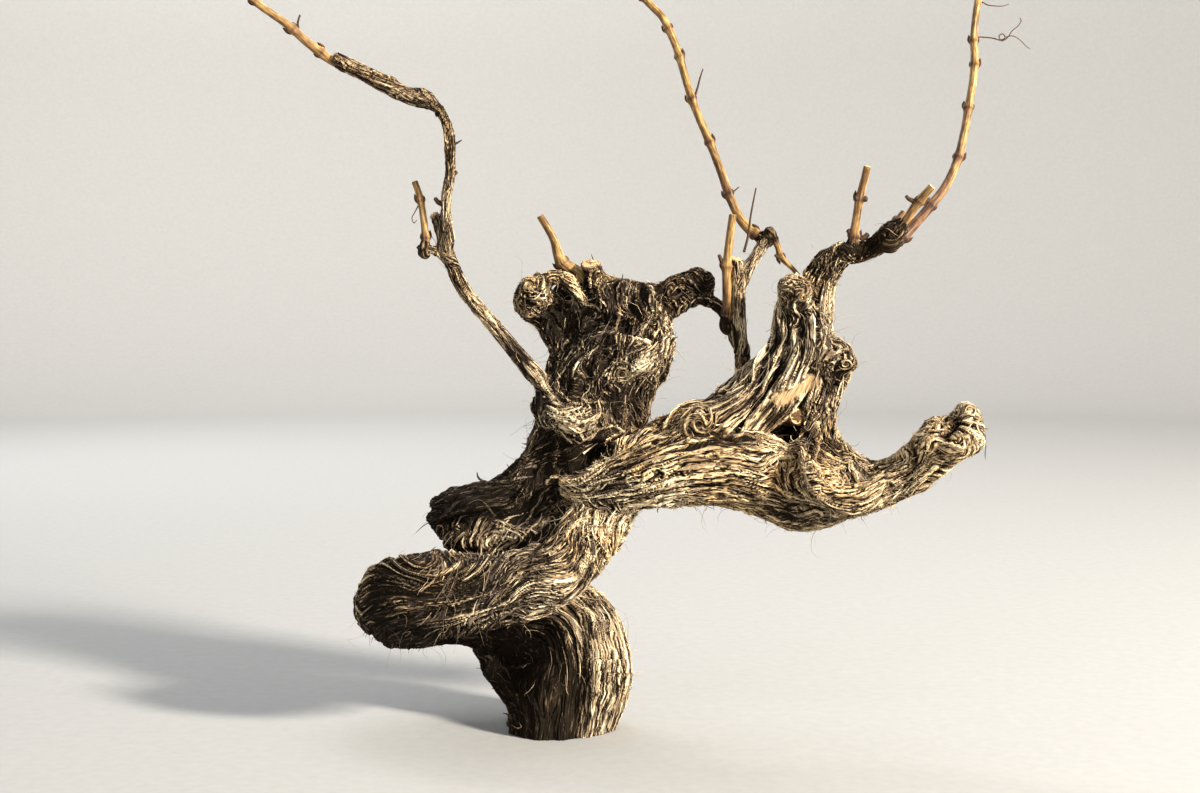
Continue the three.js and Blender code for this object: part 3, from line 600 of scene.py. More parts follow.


# Hollows, folds, swellings and knots that give the vine its face. Each has a place on the bark, its half length along
# the grain and half width across it in mm, its height in mm (less than 0 is a hollow), how dark it is (painted shade,
# in hollows and where shade falls) and how pale it is (bleached bark, and on lit parts painted light), and the turn of
# the grain round it in degrees. A ninth number is the way that it lies instead of the grain's, in degrees up from the
# right as the viewer sees it.
MARKS = [
    # foot: the strands sweep round a hollow, darkened with painted shade
    (581, 676, 42, 17, -17, 0.75, 0.0, 0),
    (556, 700, 40, 9, -9, 0.6, 0.0, 0),
    (516, 668, 34, 30, -12, 0.8, 0.0, 0),
    (612, 640, 46, 5, -5, 0.3, 0.0, 0),
    (600, 600, 34, 5, -4, 0.2, 0.0, 0),
    (622, 664, 60, 10, 4, 0.0, 0.15, 0),
    # lower loop: a fold along its underside, and the bulge where the grain turns up
    (404, 633, 46, 6, -10, 0.7, 0.0, 0),
    (452, 634, 40, 6, -11, 0.8, 0.0, 0),
    (392, 606, 40, 4, -5, 0.4, 0.0, 0),
    (470, 596, 52, 4, -5, 0.3, 0.0, 0),
    (436, 578, 40, 4, -4, 0.3, 0.0, 0),
    (404, 585, 30, 10, 4, 0.0, 0.1, 0),
    (552, 580, 30, 26, 9, 0.0, 0.2, 40),
    (521, 568, 34, 7, -8, 0.5, 0.0, 0),
    (500, 618, 60, 5, -6, 0.4, 0.0, 0),
    (572, 612, 34, 5, -6, 0.5, 0.0, 0),
    (596, 560, 44, 4, -5, 0.3, 0.0, 0),
    (612, 540, 36, 12, 5, 0.0, 0.2, 0),
    (578, 552, 30, 4, -5, 0.3, 0.0, 0),
    # the knuckle behind it and its long folds
    (468, 497, 46, 5, -6, 0.5, 0.0, 0),
    (470, 520, 50, 5, -7, 0.6, 0.0, 0),
    (508, 500, 44, 7, -8, 0.6, 0.0, 0),
    (530, 470, 50, 6, -8, 0.6, 0.0, 0),
    (548, 452, 44, 5, -6, 0.5, 0.0, 0),
    # torso: curled bark, swirls and a scooped hollow
    (568, 326, 36, 21, -19, 0.62, 0.0, 0),
    (590, 323, 8, 8, -14, 1.0, 0.0, 0),
    (590, 323, 15, 15, 4, 0.0, 0.1, 130),
    (669, 306, 26, 17, -17, 0.9, 0.0, 0),
    (622, 374, 8, 8, 3, 0.0, 0.1, 420),
    (622, 374, 4, 4, -7, 0.9, 0.0, 0),
    (598, 366, 24, 10, 6, 0.0, 0.05, 60),
    (606, 352, 30, 5, -8, 0.7, 0.0, 0),
    (582, 384, 26, 6, -7, 0.6, 0.0, -50),
    (640, 345, 26, 7, -6, 0.5, 0.0, 60),
    (660, 384, 24, 8, -5, 0.5, 0.0, 0),
    (580, 421, 26, 24, 6, 0.0, 0.25, 0),
    (574, 444, 8, 40, -9, 0.8, 0.0, 0),
    (537, 394, 24, 9, -5, 0.7, 0.0, 0),
    (567, 392, 26, 7, -8, 0.7, 0.0, 0),
    (600, 452, 30, 10, -9, 0.7, 0.0, 0),
    (560, 470, 34, 6, -7, 0.6, 0.0, 40),
    # head
    (548, 334, 30, 8, -9, 0.9, 0.0, 0),
    (516, 312, 20, 14, -4, 0.6, 0.0, 0),
    (528, 288, 13, 13, 5, 0.0, 0.25, 170),
    (540, 302, 10, 10, 4, 0.0, 0.25, 200),
    (530, 316, 10, 10, 4, 0.0, 0.2, -190),
    (524, 302, 6, 6, -6, 0.9, 0.0, 0),
    (632, 300, 24, 6, -8, 0.7, 0.0, 0),
    (616, 288, 22, 5, -6, 0.6, 0.0, 0),
    (648, 290, 20, 6, 5, 0.0, 0.35, 0),
    (655, 292, 24, 4, -6, 0.8, 0.0, 0),
    (663, 300, 30, 6, 5, 0.0, 0.35, 0),
    (690, 277, 18, 14, 5, 0.0, 0.35, 90),
    (700, 291, 16, 9, -6, 0.7, 0.0, 0),
    (681, 292, 16, 6, -7, 0.7, 0.0, 0),
    (594, 274, 20, 9, 1, 0.0, 0.40, 0, 90),
    (581, 276, 22, 6, -4, 0.9, 0.0, 0, 90),
    (604, 296, 18, 8, 4, 0.0, 0.42, 0, -60),
    (573, 285, 30, 7, 6, 0.0, 0.50, 0, -50),
    (586, 286, 26, 4, -8, 0.95, 0.0, 0, -58),
    (561, 316, 30, 17, -15, 0.85, 0.0, 0, 85),
    (549, 352, 18, 13, -15, 0.8, 0.0, 0),
    (535, 279, 13, 16, 3, 0.0, 0.35, 0),
    (546, 292, 12, 12, 2, 0.0, 0.28, 0),
    (536, 326, 15, 16, -6, 0.95, 0.0, 0),
    (615, 297, 18, 9, -5, 0.9, 0.0, 0, 85),
    (632, 294, 17, 4, 5, 0.0, 0.60, 0, 85),
    (642, 298, 18, 5, -7, 0.95, 0.0, 0, 85),
    (652, 300, 24, 5, 5, 0.0, 0.55, 0, 80),
    (668, 301, 26, 9, -10, 0.95, 0.0, 0, 85),
    (632, 327, 38, 8, -17, 1.0, 0.0, 0, -4),
    (604, 316, 20, 9, -15, 1.0, 0.0, 0, -20),
    (640, 338, 24, 5, 6, 0.0, 0.62, 0, 20),
    # the fan of pale bark on the torso's lit side, its paleness partly painted light, and painted shade in the folds
    # round it
    (650, 352, 36, 20, 1, 0.0, 0.52, 0, 30),
    (656, 338, 26, 12, 2, 0.0, 0.30, 0, 40),
    (640, 370, 24, 12, 1, 0.0, 0.42, 0, 25),
    (668, 326, 14, 8, 3, 0.0, 0.35, 0, 70),
    (668, 330, 16, 9, 4, 0.0, 0.30, 0),
    (624, 346, 22, 7, -7, 0.6, 0.0, 0, 70),
    (600, 345, 34, 6, -8, 0.7, 0.0, 0, 75),
    (575, 370, 16, 10, 6, 0.1, 0.0, 70),
    (588, 392, 30, 6, -7, 0.7, 0.0, 0, 20),
    (618, 402, 34, 17, -9, 0.85, 0.0, 0, 0),
    (640, 395, 20, 14, -9, 0.9, 0.0, 0),
    (574, 420, 24, 28, 5, 0.0, 0.52, 0),
    (600, 412, 18, 14, 4, 0.0, 0.36, 0),
    (549, 388, 28, 8, 4, 0.0, 0.30, 0, -40),
    (533, 405, 30, 9, -6, 0.9, 0.0, 0, 85),
    # loop: worn pale patches, and painted shade over its left end and in the gap under the knuckle
    (446, 570, 30, 12, 2, 0.0, 0.32, 0),
    (398, 607, 20, 5, 2, 0.0, 0.38, 0),
    (500, 574, 36, 12, 0, 0.0, 0.06, 0),
    (542, 590, 44, 12, 3, 0.0, 0.28, 0, 20),
    (592, 552, 40, 14, 3, 0.0, 0.20, 0, 42),
    (598, 546, 22, 6, 3, 0.0, 0.50, 0, 42),
    (376, 590, 44, 24, 0, 0.6, 0.0, 0, 90),
    (400, 596, 40, 12, 0, 0.3, 0.0, 0),
    (410, 618, 40, 8, -5, 0.6, 0.0, 0),
    (520, 547, 46, 7, -9, 0.9, 0.0, 0, 12),
    (478, 552, 40, 6, -6, 0.7, 0.0, 0, 5),
    # foot: painted shade over its left half, which is sunk into a hollow
    (545, 655, 52, 38, -16, 0.95, 0.0, 0),
    (572, 704, 42, 24, -7, 0.85, 0.0, 0),
    (540, 716, 40, 34, 0, 0.9, 0.0, 0),
    (578, 690, 44, 14, -12, 0.95, 0.0, 0),
    (560, 735, 40, 26, 0, 0.85, 0.0, 0),
    (612, 660, 60, 14, 2, 0.0, 0.22, 0),
    (500, 650, 40, 22, -8, 0.8, 0.0, 0),
    # right-hand arms
    (772, 398, 32, 5, 3, 0.0, 0.6, 0, 36),
    (846, 378, 20, 14, -10, 0.95, 0.0, 0),
    (796, 346, 44, 6, 5, 0.0, 0.35, 0, 62),
    (776, 344, 40, 9, -6, 0.55, 0.0, 0, 62),
    (752, 382, 40, 8, -6, 0.5, 0.0, 0, 45),
    # front arm
    (640, 478, 44, 10, 3, 0.0, 0.25, 0),
    (690, 470, 44, 10, 3, 0.0, 0.2, 0),
    (698, 424, 12, 11, 7, 0.0, 0.1, 150),
    (699, 424, 5, 5, -7, 0.8, 0.0, 0),
    (722, 434, 20, 7, -9, 0.8, 0.0, 0),
    (670, 440, 40, 5, -8, 0.7, 0.0, 0),
    (640, 452, 40, 4, -7, 0.6, 0.0, 0),
    (694, 446, 36, 4, -8, 0.6, 0.0, 0),
    (700, 462, 34, 4, -6, 0.5, 0.0, 0),
    (668, 478, 36, 4, -6, 0.4, 0.0, 0),
    (714, 486, 34, 4, -8, 0.7, 0.0, 0),
    (748, 496, 30, 4, -5, 0.4, 0.0, 0),
    (620, 470, 34, 4, -7, 0.5, 0.0, 0),
    (600, 492, 24, 5, -7, 0.6, 0.0, 0),
    (640, 500, 40, 5, -7, 0.5, 0.0, 0),
    (760, 462, 34, 20, 4, 0.0, 0.1, 0),
    (738, 512, 44, 7, -9, 0.8, 0.0, 0),
    (782, 516, 34, 5, -6, 0.6, 0.0, 0),
    (656, 517, 24, 7, -8, 0.9, 0.0, 0),
    (586, 474, 16, 12, 4, 0.0, 0.15, 0),
    # right-hand arms: twin strands, the scar, the hollow under it
    (746, 418, 44, 5, -9, 0.7, 0.0, 0),
    (772, 384, 44, 5, -9, 0.7, 0.0, 0),
    (786, 360, 40, 5, -8, 0.6, 0.0, 0),
    (800, 334, 40, 5, -9, 0.7, 0.0, 0),
    (764, 404, 40, 8, 4, 0.0, 0.15, 0),
    (800, 362, 44, 8, 5, 0.0, 0.1, 0),
    (740, 440, 20, 6, -9, 0.8, 0.0, 0),
    (812, 372, 14, 7, -9, 0.9, 0.0, 0),
    (818, 318, 44, 5, -7, 0.4, 0.0, 0),
    (790, 426, 26, 20, -6, 1.0, 0.0, 0),
    (806, 436, 24, 14, -4, 0.95, 0.0, 0),
    (797, 417, 17, 16, -3, 0.8, 0.0, 0),
    (802, 298, 12, 8, 6, 0.0, 0.3, 70),
    (790, 284, 12, 10, 4, 0.0, 0.2, -90),
    (794, 300, 5, 12, -6, 0.8, 0.0, 0),
    (812, 450, 34, 5, -9, 0.8, 0.0, 0),
    (826, 440, 40, 5, -8, 0.6, 0.0, 0),
    (838, 452, 34, 4, -6, 0.5, 0.0, 0),
    (820, 480, 30, 5, -7, 0.6, 0.0, 0),
    (846, 362, 16, 13, 6, 0.0, 0.25, 110),
    (838, 386, 16, 12, -11, 0.9, 0.0, 0),
    (850, 378, 8, 8, -7, 0.9, 0.0, 0),
    (808, 506, 40, 4, -6, 0.5, 0.0, 0),
    (828, 512, 40, 4, -6, 0.5, 0.0, 0),
    (846, 500, 36, 4, -6, 0.5, 0.0, 0),
    (866, 494, 34, 9, 5, 0.0, 0.2, 0),
    (880, 470, 34, 5, -6, 0.4, 0.0, 0),
    (912, 468, 34, 5, -6, 0.4, 0.0, 0),
    (950, 452, 18, 17, 8, 0.0, 0.1, 60),
    (974, 440, 20, 15, 8, 0.0, 0.1, -50),
    (950, 432, 24, 6, -14, 1.0, 0.0, 0, 62),
    (930, 436, 22, 17, 9, 0.0, 0.1, 0, 50),
    (968, 446, 22, 16, 9, 0.0, 0.1, 0, 60),
    (914, 452, 14, 5, -8, 0.8, 0.0, 0, 70),
    (953, 405, 13, 6, 0, 0.45, 0.0, 0, 20),
    (954, 418, 12, 12, -9, 0.85, 0.0, 0),
    (940, 470, 26, 5, -6, 0.5, 0.0, 0),
    (968, 402, 10, 7, 4, 0.0, 0.1, 0),
    (846, 250, 16, 7, 4, 0.3, 0.0, 60),
    (868, 248, 14, 6, -4, 0.7, 0.0, 0),
    (890, 232, 12, 10, 4, 0.2, 0.0, 90),
    (826, 272, 24, 4, -4, 0.4, 0.0, 0),
]


def frame_of(p, n, f):
    f = f - n * (f @ n)
    f = f / np.linalg.norm(f)
    return np.concatenate([p, n, f, np.cross(n, f)])


found = [(m, on_bark(m[0], m[1])) for m in MARKS]
found = [(m, h) for m, h in found if h is not None]
points, normals = np.array([h[0] for _, h in found]), np.array([h[1] for _, h in found])
grain = grain_at(points, normals)
for i, (m, _) in enumerate(found):
    if len(m) > 8:
        w = math.radians(m[8])
        grain[i] = (math.cos(w), math.sin(w) * math.sin(TILT), math.sin(w) * math.cos(TILT))
# rows: place, normal, grain, across, half length, half width, height, dark (painted shade), pale, turn
marks = [
    np.concatenate([frame_of(points[i], normals[i], grain[i]), [m[2] / 1000, m[3] / 1000, m[4] / 1000, m[5], m[6], math.radians(m[7])]])
    for i, (m, _) in enumerate(found)
]

# The same kinds of fold, swelling and knot all round, more of them where the listed ones don't reach.
rng = np.random.RandomState(SEED + 5)
co_n = normals_of(me)
seen = ((EYE - co) * co_n).sum(1) > 0
spots = rng.permutation(len(co))[:900]
spot_data = limb_coords(co[spots])[0][0]
spot_bark = per_vertex(spot_data)
spot_grain = grain_at(co[spots], co_n[spots])
taken = [m[:3] for m in marks]
for j, i in enumerate(spots):
    thick = spot_bark["r"][j]
    if thick < 0.0125 or co[i, 2] < 0.02:
        continue
    gap = 0.022 if not seen[i] else 0.03
    near = min(np.linalg.norm(t - co[i]) for t in taken)
    if near < gap * (0.7 + 10 * thick):
        continue
    kind = rng.rand()
    size = min(1.0, thick / 0.035)
    turn = math.radians(rng.uniform(-120, 120)) * (rng.rand() < 0.3)
    # the folds and knots below are sunk and darkened with painted shade
    if kind < 0.58:
        row = [rng.uniform(0.024, 0.05) * (0.4 + 0.6 * size), rng.uniform(0.0035, 0.006), -rng.uniform(0.004, 0.010) * size, rng.uniform(0.3, 0.8), 0.0, turn]
    elif kind < 0.85:
        row = [rng.uniform(0.014, 0.03) * size, rng.uniform(0.009, 0.018) * size, rng.uniform(0.003, 0.007) * size, 0.0, rng.uniform(0, 0.2), turn]
    else:
        row = [rng.uniform(0.008, 0.014) * size, rng.uniform(0.006, 0.012) * size, -rng.uniform(0.006, 0.012) * size, 0.8, 0.0, math.radians(rng.uniform(80, 200)) * rng.choice([-1, 1])]
    marks.append(np.concatenate([frame_of(co[i], co_n[i], spot_grain[j]), row]))
    taken.append(co[i])
print("marks", len(marks))


def marks_on(P, N):
    """Height, dark (painted shade) and pale (bleached bark with some painted light) of all marks at some points."""
    high, dark, pale = np.zeros(len(P)), np.zeros(len(P)), np.zeros(len(P))
    order = np.argsort(P[:, 0], kind="stable")
    xs = P[order, 0]
    for k, m in enumerate(marks):
        c, n, f, b = m[:3], m[3:6], m[6:9], m[9:12]
        al, ac, h, shade_dk, pl, _ = m[12:]
        reach = 2.3 * max(al, ac)
        idx = order[np.searchsorted(xs, c[0] - reach) : np.searchsorted(xs, c[0] + reach)]
        rel = P[idx] - c
        ok = (np.abs(rel) < reach).all(1)
        idx, rel = idx[ok], rel[ok]
        a = (rel @ f) / al
        x = (rel @ b) / ac + (0.5 * np.sin(2.1 * a + k) - 0.5 * math.sin(k) if al > 2.5 * ac else 0)
        z = (rel @ n) / max(0.012, max(al, ac))
        g = np.exp(-(a * a + x * x + 0.5 * z * z)) * smooth(-0.15, 0.4, N[idx] @ n)
        high[idx] += h * g
        dark[idx] = np.maximum(dark[idx], shade_dk * np.exp(-(a * a + 1.4 * x * x)) * smooth(0.0, 0.4, N[idx] @ n))
        pale[idx] += pl * g
    return high, dark, pale


high, _, _ = marks_on(co, co_n)
co = co + co_n * np.clip(high, -0.022, 0.012)[:, None]
co = relax(co, quads, 1)
me.vertices.foreach_set("co", co.astype(np.float32).ravel())
me.update()
body = bpy.data.objects.new("body_tmp", me)
bpy.context.scene.collection.objects.link(body)
sub = body.modifiers.new("sub", "SUBSURF")
sub.levels = sub.render_levels = 1
fine = bpy.data.meshes.new_from_object(body.evaluated_get(bpy.context.evaluated_depsgraph_get()))
bpy.data.objects.remove(body)
P, N, Q = co_of(fine), normals_of(fine), quads_of(fine)
print("bark mesh", len(P), "vertices", len(Q) * 2, "triangles")

# the marks' dark is painted shade; their paleness is bleached bark with painted light in it
_, PAINTED_SHADE, PALE_AND_LIT = marks_on(P, N)

# The grain turns round each knot: the bark's coordinates are read from a turned place.
turned, spin = P.copy(), np.zeros(len(P))
for m in marks:
    if abs(m[17]) < 1e-3:
        continue
    reach = 2.3 * max(m[12], m[13])
    rel = turned - m[:3]
    idx = np.where((rel * rel).sum(1) < reach * reach)[0]
    r = rel[idx]
    n = m[3:6]
    phi = m[17] * (1 - (r * r).sum(1) / reach**2) ** 2
    cosp, sinp = np.cos(phi)[:, None], np.sin(phi)[:, None]
    turned[idx] = m[:3] + r * cosp + np.cross(n, r) * sinp + n * (r @ n)[:, None] * (1 - cosp)
    spin[idx] += phi

DATA, WEIGHT, MISS = limb_coords(turned)

# ------------------------------------------------------------------ the bark's relief
# Slow wandering of the grain, the same for every limb.
WARP = np.stack([fbm(P * 20.0 + 3.1 * k, 2, 40 + k) for k in range(3)], 1)
WARP2 = np.stack([perlin(P * 70.0 + 7.7 * k, 50 + k) for k in range(2)], 1)
lumps = fbm(P * 17.0 + 5.0, 3, 60)
END_LUMPS = fbm(P * 130.0 + 6.0, 2, 62)
worn = smooth(-0.55, 0.75, fbm(P * 11.0 + 2.0, 2, 64))

relief, strip_rnd, crack_all, pale_and_lit_all, shag_all, edge_all, limb_r = (np.zeros(len(P)) for _ in range(7))
flow_dir = np.zeros((len(P), 3))
flow_xyz = np.zeros((len(P), 3))
for slot in (0, 1):
    W = WEIGHT[slot]
    on = W > 0.02
    d = DATA[slot][on]
    v = per_vertex(d)
    w = W[on]
    s, cs, sn = d[:, 1], d[:, 2], d[:, 3]
    R = np.clip(d[:, 4], 0.3 * v["r"], 1.3 * v["r"])
    a = v["twist"] * s
    c2, s2 = cs * np.cos(a) - sn * np.sin(a), sn * np.cos(a) + cs * np.sin(a)
    wx = v["wave"] * (0.0046 * WARP[on, 0] + 0.0010 * WARP2[on, 0])
    wy = v["wave"] * (0.0046 * WARP[on, 1] + 0.0010 * WARP2[on, 1])
    # the strips run the whole way along a limb, so they are laid out round its mean girth
    X, Y = v["girth"] * c2 + wx, v["girth"] * s2 + wy
    S = s + v["wave"] * 0.004 * WARP[on, 2]
    shift = d[:, 0] * 13.7
    span = np.maximum(4.2 * v["wide"], 0.5 * v["r"])
    cord = 1 - 1.6 * np.abs(perlin(np.stack([X / span, Y / span, S / (2.6 * v["long"]) + shift], 1), 3))
    cord += 0.4 * (1 - 1.6 * np.abs(perlin(np.stack([X / (0.52 * span), Y / (0.52 * span), S / (1.5 * v["long"]) + shift + 4.4], 1), 4)))
    mid = np.stack([X / v["wide"], Y / v["wide"], S / v["long"] + shift], 1)
    f1, edge, rnd, off = cells(mid, 1)
    plate = smooth(0.0, 0.26, edge)
    lean = off[:, 2] * np.where(rnd[:, 1] > 0.42, 1.0, -1.0)
    small = np.stack([X / (0.46 * v["wide"]), Y / (0.46 * v["wide"]), S / (0.5 * v["long"]) + shift], 1)
    _, edge2, rnd2, _ = cells(small, 2)
    plate2 = smooth(0.0, 0.26, edge2)
    slit = np.stack([X / (2.3 * v["wide"]), Y / (2.3 * v["wide"]), S / (1.5 * v["long"]) + 5.5 + shift], 1)
    crack = smooth(0.10, 0.0, np.abs(perlin(slit, 5))) * smooth(-0.3, 0.15, perlin(slit * 0.45 + 9.0, 6))
    ropes = np.clip(0.085 * v["r"] * 1000, 0.7, 3.8)
    wear = 0.65 + 0.6 * worn[on]
    h = v["rough"] * (
        v["cord"] * ropes * (cord - 0.5)
        + wear * (1.7 * plate + 2.2 * (rnd[:, 0] - 0.5) + 1.5 * lean + 0.6 * plate2 + 0.6 * (rnd2[:, 0] - 0.5))
        - 3.4 * crack
        - 1.6 * smooth(0.010, 0.024, v["r"])
    )
    # at the round end of a limb the strips break up into small lumps
    pole = smooth(0.97, 0.78, np.abs((v["T"] * N[on]).sum(1)))
    h = h * pole + (1 - pole) * v["rough"] * (2.6 * END_LUMPS[on] - 0.6)
    relief[on] += w * (h + v["gnarl"] * 0.8 * lumps[on])
    strip_rnd[on] += w * (0.5 + (0.62 * rnd[:, 2] + 0.38 * rnd2[:, 2] - 0.5) * pole)
    edge_all[on] += w * (1 - (1 - 0.6 * plate - 0.4 * plate2) * pole)
    crack_all[on] += w * crack * np.minimum(1, v["rough"] * 1.4)
    pale_and_lit_all[on] += w * v["pale"]
    shag_all[on] += w * v["shag"]
    limb_r[on] += w * v["r"]
    th = v["V"] * cs[:, None] - v["U"] * sn[:, None]
    f = v["T"] - th * (v["twist"] * R)[:, None]
    f -= N[on] * (f * N[on]).sum(1)[:, None]
    flow_dir[on] += w[:, None] * f / np.maximum(1e-6, np.linalg.norm(f, axis=1))[:, None]
    if slot == 0:
        flow_xyz[on] = np.stack([X, Y, S * 0.075], 1) + np.stack([d[:, 0] * 0.37, d[:, 0] * 0.21, np.zeros(len(d))], 1)
# undo the turn round the knots for the way the grain runs
cosp, sinp = np.cos(-spin)[:, None], np.sin(-spin)[:, None]
flow_dir = flow_dir * cosp + np.cross(N, flow_dir) * sinp
flow_dir /= np.maximum(1e-6, np.linalg.norm(flow_dir, axis=1))[:, None]


def near_place(u, v, mm):
    """1 at a place on the bark, falling to 0 at mm from it."""
    h = on_bark(u, v)
    r = np.linalg.norm(P - h[0], axis=1) * 1000
    return np.exp(-((r / mm) ** 2)) * smooth(0.0, 0.4, N @ h[1])


# The scar where a limb tore off: bare wood, smooth, with a pale edge.
BARE = np.clip(sum(near_place(u, v, 9.0) for u, v in ((778, 399), (784, 396), (790, 394), (796, 391), (802, 388), (808, 385), (813, 381))) * 1.1, 0, 1)
BARE *= smooth(0.35, 0.75, BARE + 0.22 * perlin(P * 190.0 + 2.2, 66))
relief = (relief - 0.6 * smooth(0.010, 0.024, limb_r)) * (1 - 0.85 * BARE)
# Old cuts stay flat, and the bark lies closer round them.
for limb in FLAT_ENDS:
    c = COURSES[limb]
    rel = P - c.p[-1]
    near = smooth(2.2, 1.0, np.linalg.norm(rel, axis=1) / c.r[-1]) * smooth(0.3, 0.8, N @ c.t[-1])
    relief *= 1 - 0.9 * near
D = P + N * (relief / 1000.0)[:, None]

# Some old cuts slope towards the viewer: what stands over the sloping plane is laid down on it.
SLOPES = {"head_cut_stump": (0.10, -0.55, 0.0), "middle_stem": (0.25, -0.30, 0.0), "left_arm_lower": (-0.2, -0.35, 0.0)}
CUT_PLANES = {}
for limb in FLAT_ENDS:
    c = COURSES[limb]
    n = c.t[-1] + np.array(SLOPES.get(limb, (0, 0, 0)))
    n /= np.linalg.norm(n)
    down = 0.9 * c.r[-1] * math.sqrt(max(0.0, 1 - float(n @ c.t[-1]) ** 2))
    place = c.p[-1] - c.t[-1] * (0.0012 + down)
    CUT_PLANES[limb] = (place, n)
    over = (D - place) @ n
    rel = D - c.p[-1]
    near = (over > 0) & (np.linalg.norm(rel, axis=1) < 2.1 * c.r[-1] + down) & (np.linalg.norm(rel - (rel @ c.t[-1])[:, None] * c.t[-1], axis=1) < 1.5 * c.r[-1])
    near &= rel @ c.t[-1] > -(2.2 * down + 0.004)
    D[near] -= c.t[-1] * (over[near] / float(n @ c.t[-1]))[:, None]


def smoothed(f, rounds):
    e = np.concatenate([Q[:, [0, 1]], Q[:, [1, 2]], Q[:, [2, 3]], Q[:, [3, 0]]])
    n = len(P)
    count = np.maximum(1, np.bincount(e[:, 0], minlength=n) + np.bincount(e[:, 1], minlength=n))
    for _ in range(rounds):
        f = 0.4 * f + 0.6 * (np.bincount(e[:, 0], f[e[:, 1]], n) + np.bincount(e[:, 1], f[e[:, 0]], n)) / count
    return f


ridge_shading = relief - smoothed(relief, 7)
ridge_shading /= np.percentile(np.abs(ridge_shading), 88)
broad_shading = smoothed(relief, 24)
broad_shading = relief - broad_shading
broad_shading /= np.percentile(np.abs(broad_shading), 90)
patch = fbm(P * 26.0 + 4.0, 3, 71)
# painted shade on the foot's left side, under the loop
FOOT_SHADE = smooth(0.022, -0.018, P[:, 0] + 0.006 * perlin(P * 40.0, 73)) * smooth(0.165, 0.120, P[:, 2])
RUSTY = sum(near_place(u, v, mm) for u, v, mm in ((790, 470, 16), (776, 484, 14), (640, 470, 12), (868, 248, 14), (888, 234, 16), (764, 236, 10)))
# The bark's tone. The terms from the relief's ridges are painted light on raised bark and painted shade in its valleys;
# the darkening in cracks and between strips is partly the bark's dark fissures and partly painted shade; the marks'
# dark and the foot's dark left side are painted shade; the pale terms are bleached bark with painted light in them.
TONE = (
    0.30
    + 0.17 * np.clip(ridge_shading, -1.4, 1.4)
    + 0.19 * np.clip(broad_shading, -1.4, 1.4)
    + 0.24 * (strip_rnd - 0.5)
    + 0.54 * (pale_and_lit_all + PALE_AND_LIT - 0.5)
    + 0.17 * patch
    - 0.36 * crack_all
    - 0.12 * np.clip(RUSTY, 0, 1)
    - 0.42 * FOOT_SHADE
    - 0.60 * PAINTED_SHADE
    - 0.22 * (1 - edge_all)
)
WARM = np.clip(0.45 + 0.5 * np.clip(RUSTY, 0, 1) + 0.5 * fbm(P * 9.0 + 8.0, 2, 81) + 0.25 * (pale_and_lit_all - 0.5) + 0.3 * (strip_rnd - 0.5), 0, 1)
fine.vertices.foreach_set("co", D.astype(np.float32).ravel())


def give(me, name, values):
    values = np.asarray(values, np.float32)
    at = me.attributes.new(name, "FLOAT" if values.ndim == 1 else "FLOAT_VECTOR", "POINT")
    at.data.foreach_set("value" if values.ndim == 1 else "vector", values.ravel())


give(fine, "tone", np.clip(TONE, 0, 1))
give(fine, "warm", WARM)
give(fine, "bare", BARE)
give(fine, "flow", flow_xyz)
fine.update()


# ------------------------------------------------------------------ materials
def shader(name):
    m = bpy.data.materials.new(name)
    m.use_nodes = True
    nt = m.node_tree
    return m, nt, nt.nodes["Principled BSDF"]


def node(nt, kind, **values):
    n = nt.nodes.new(kind)
    for k, v in values.items():
        if k in n.inputs.keys():
            n.inputs[k].default_value = v
        else:
            setattr(n, k, v)
    return n


def ramp(nt, fac, stops):
    r = nt.nodes.new("ShaderNodeValToRGB")
    e = r.color_ramp.elements
    while len(e) < len(stops):
        e.new(0.5)
    for item, (pos, col) in zip(e, stops):
        item.position, item.color = pos, (*col, 1)
    nt.links.new(fac, r.inputs["Fac"])
    return r.outputs["Color"]


def math_node(nt, op, a, b=None, clamp=False):
    n = nt.nodes.new("ShaderNodeMath")
    n.operation, n.use_clamp = op, clamp
    for i, x in enumerate((a, b)):
        if x is None:
            continue
        if isinstance(x, (int, float)):
            n.inputs[i].default_value = x
        else:
            nt.links.new(x, n.inputs[i])
    return n.outputs[0]


def mix_color(nt, fac, a, b, blend="MIX"):
    n = nt.nodes.new("ShaderNodeMix")
    n.data_type, n.blend_type = "RGBA", blend
    if isinstance(fac, (int, float)):
        n.inputs[0].default_value = fac
    else:
        nt.links.new(fac, n.inputs[0])
    for i, x in ((6, a), (7, b)):
        if isinstance(x, tuple):
            n.inputs[i].default_value = (*x, 1)
        else:
            nt.links.new(x, n.inputs[i])
    return n.outputs[2]


def attribute(nt, name):
    return node(nt, "ShaderNodeAttribute", attribute_name=name)


BARK_STOPS = [
    (0.00, (0.011, 0.008, 0.005)),
    (0.16, (0.035, 0.025, 0.017)),
    (0.34, (0.121, 0.088, 0.060)),
    (0.52, (0.281, 0.214, 0.142)),
    (0.70, (0.485, 0.387, 0.257)),
    (0.86, (0.698, 0.595, 0.416)),
    (1.00, (0.854, 0.775, 0.602)),
]


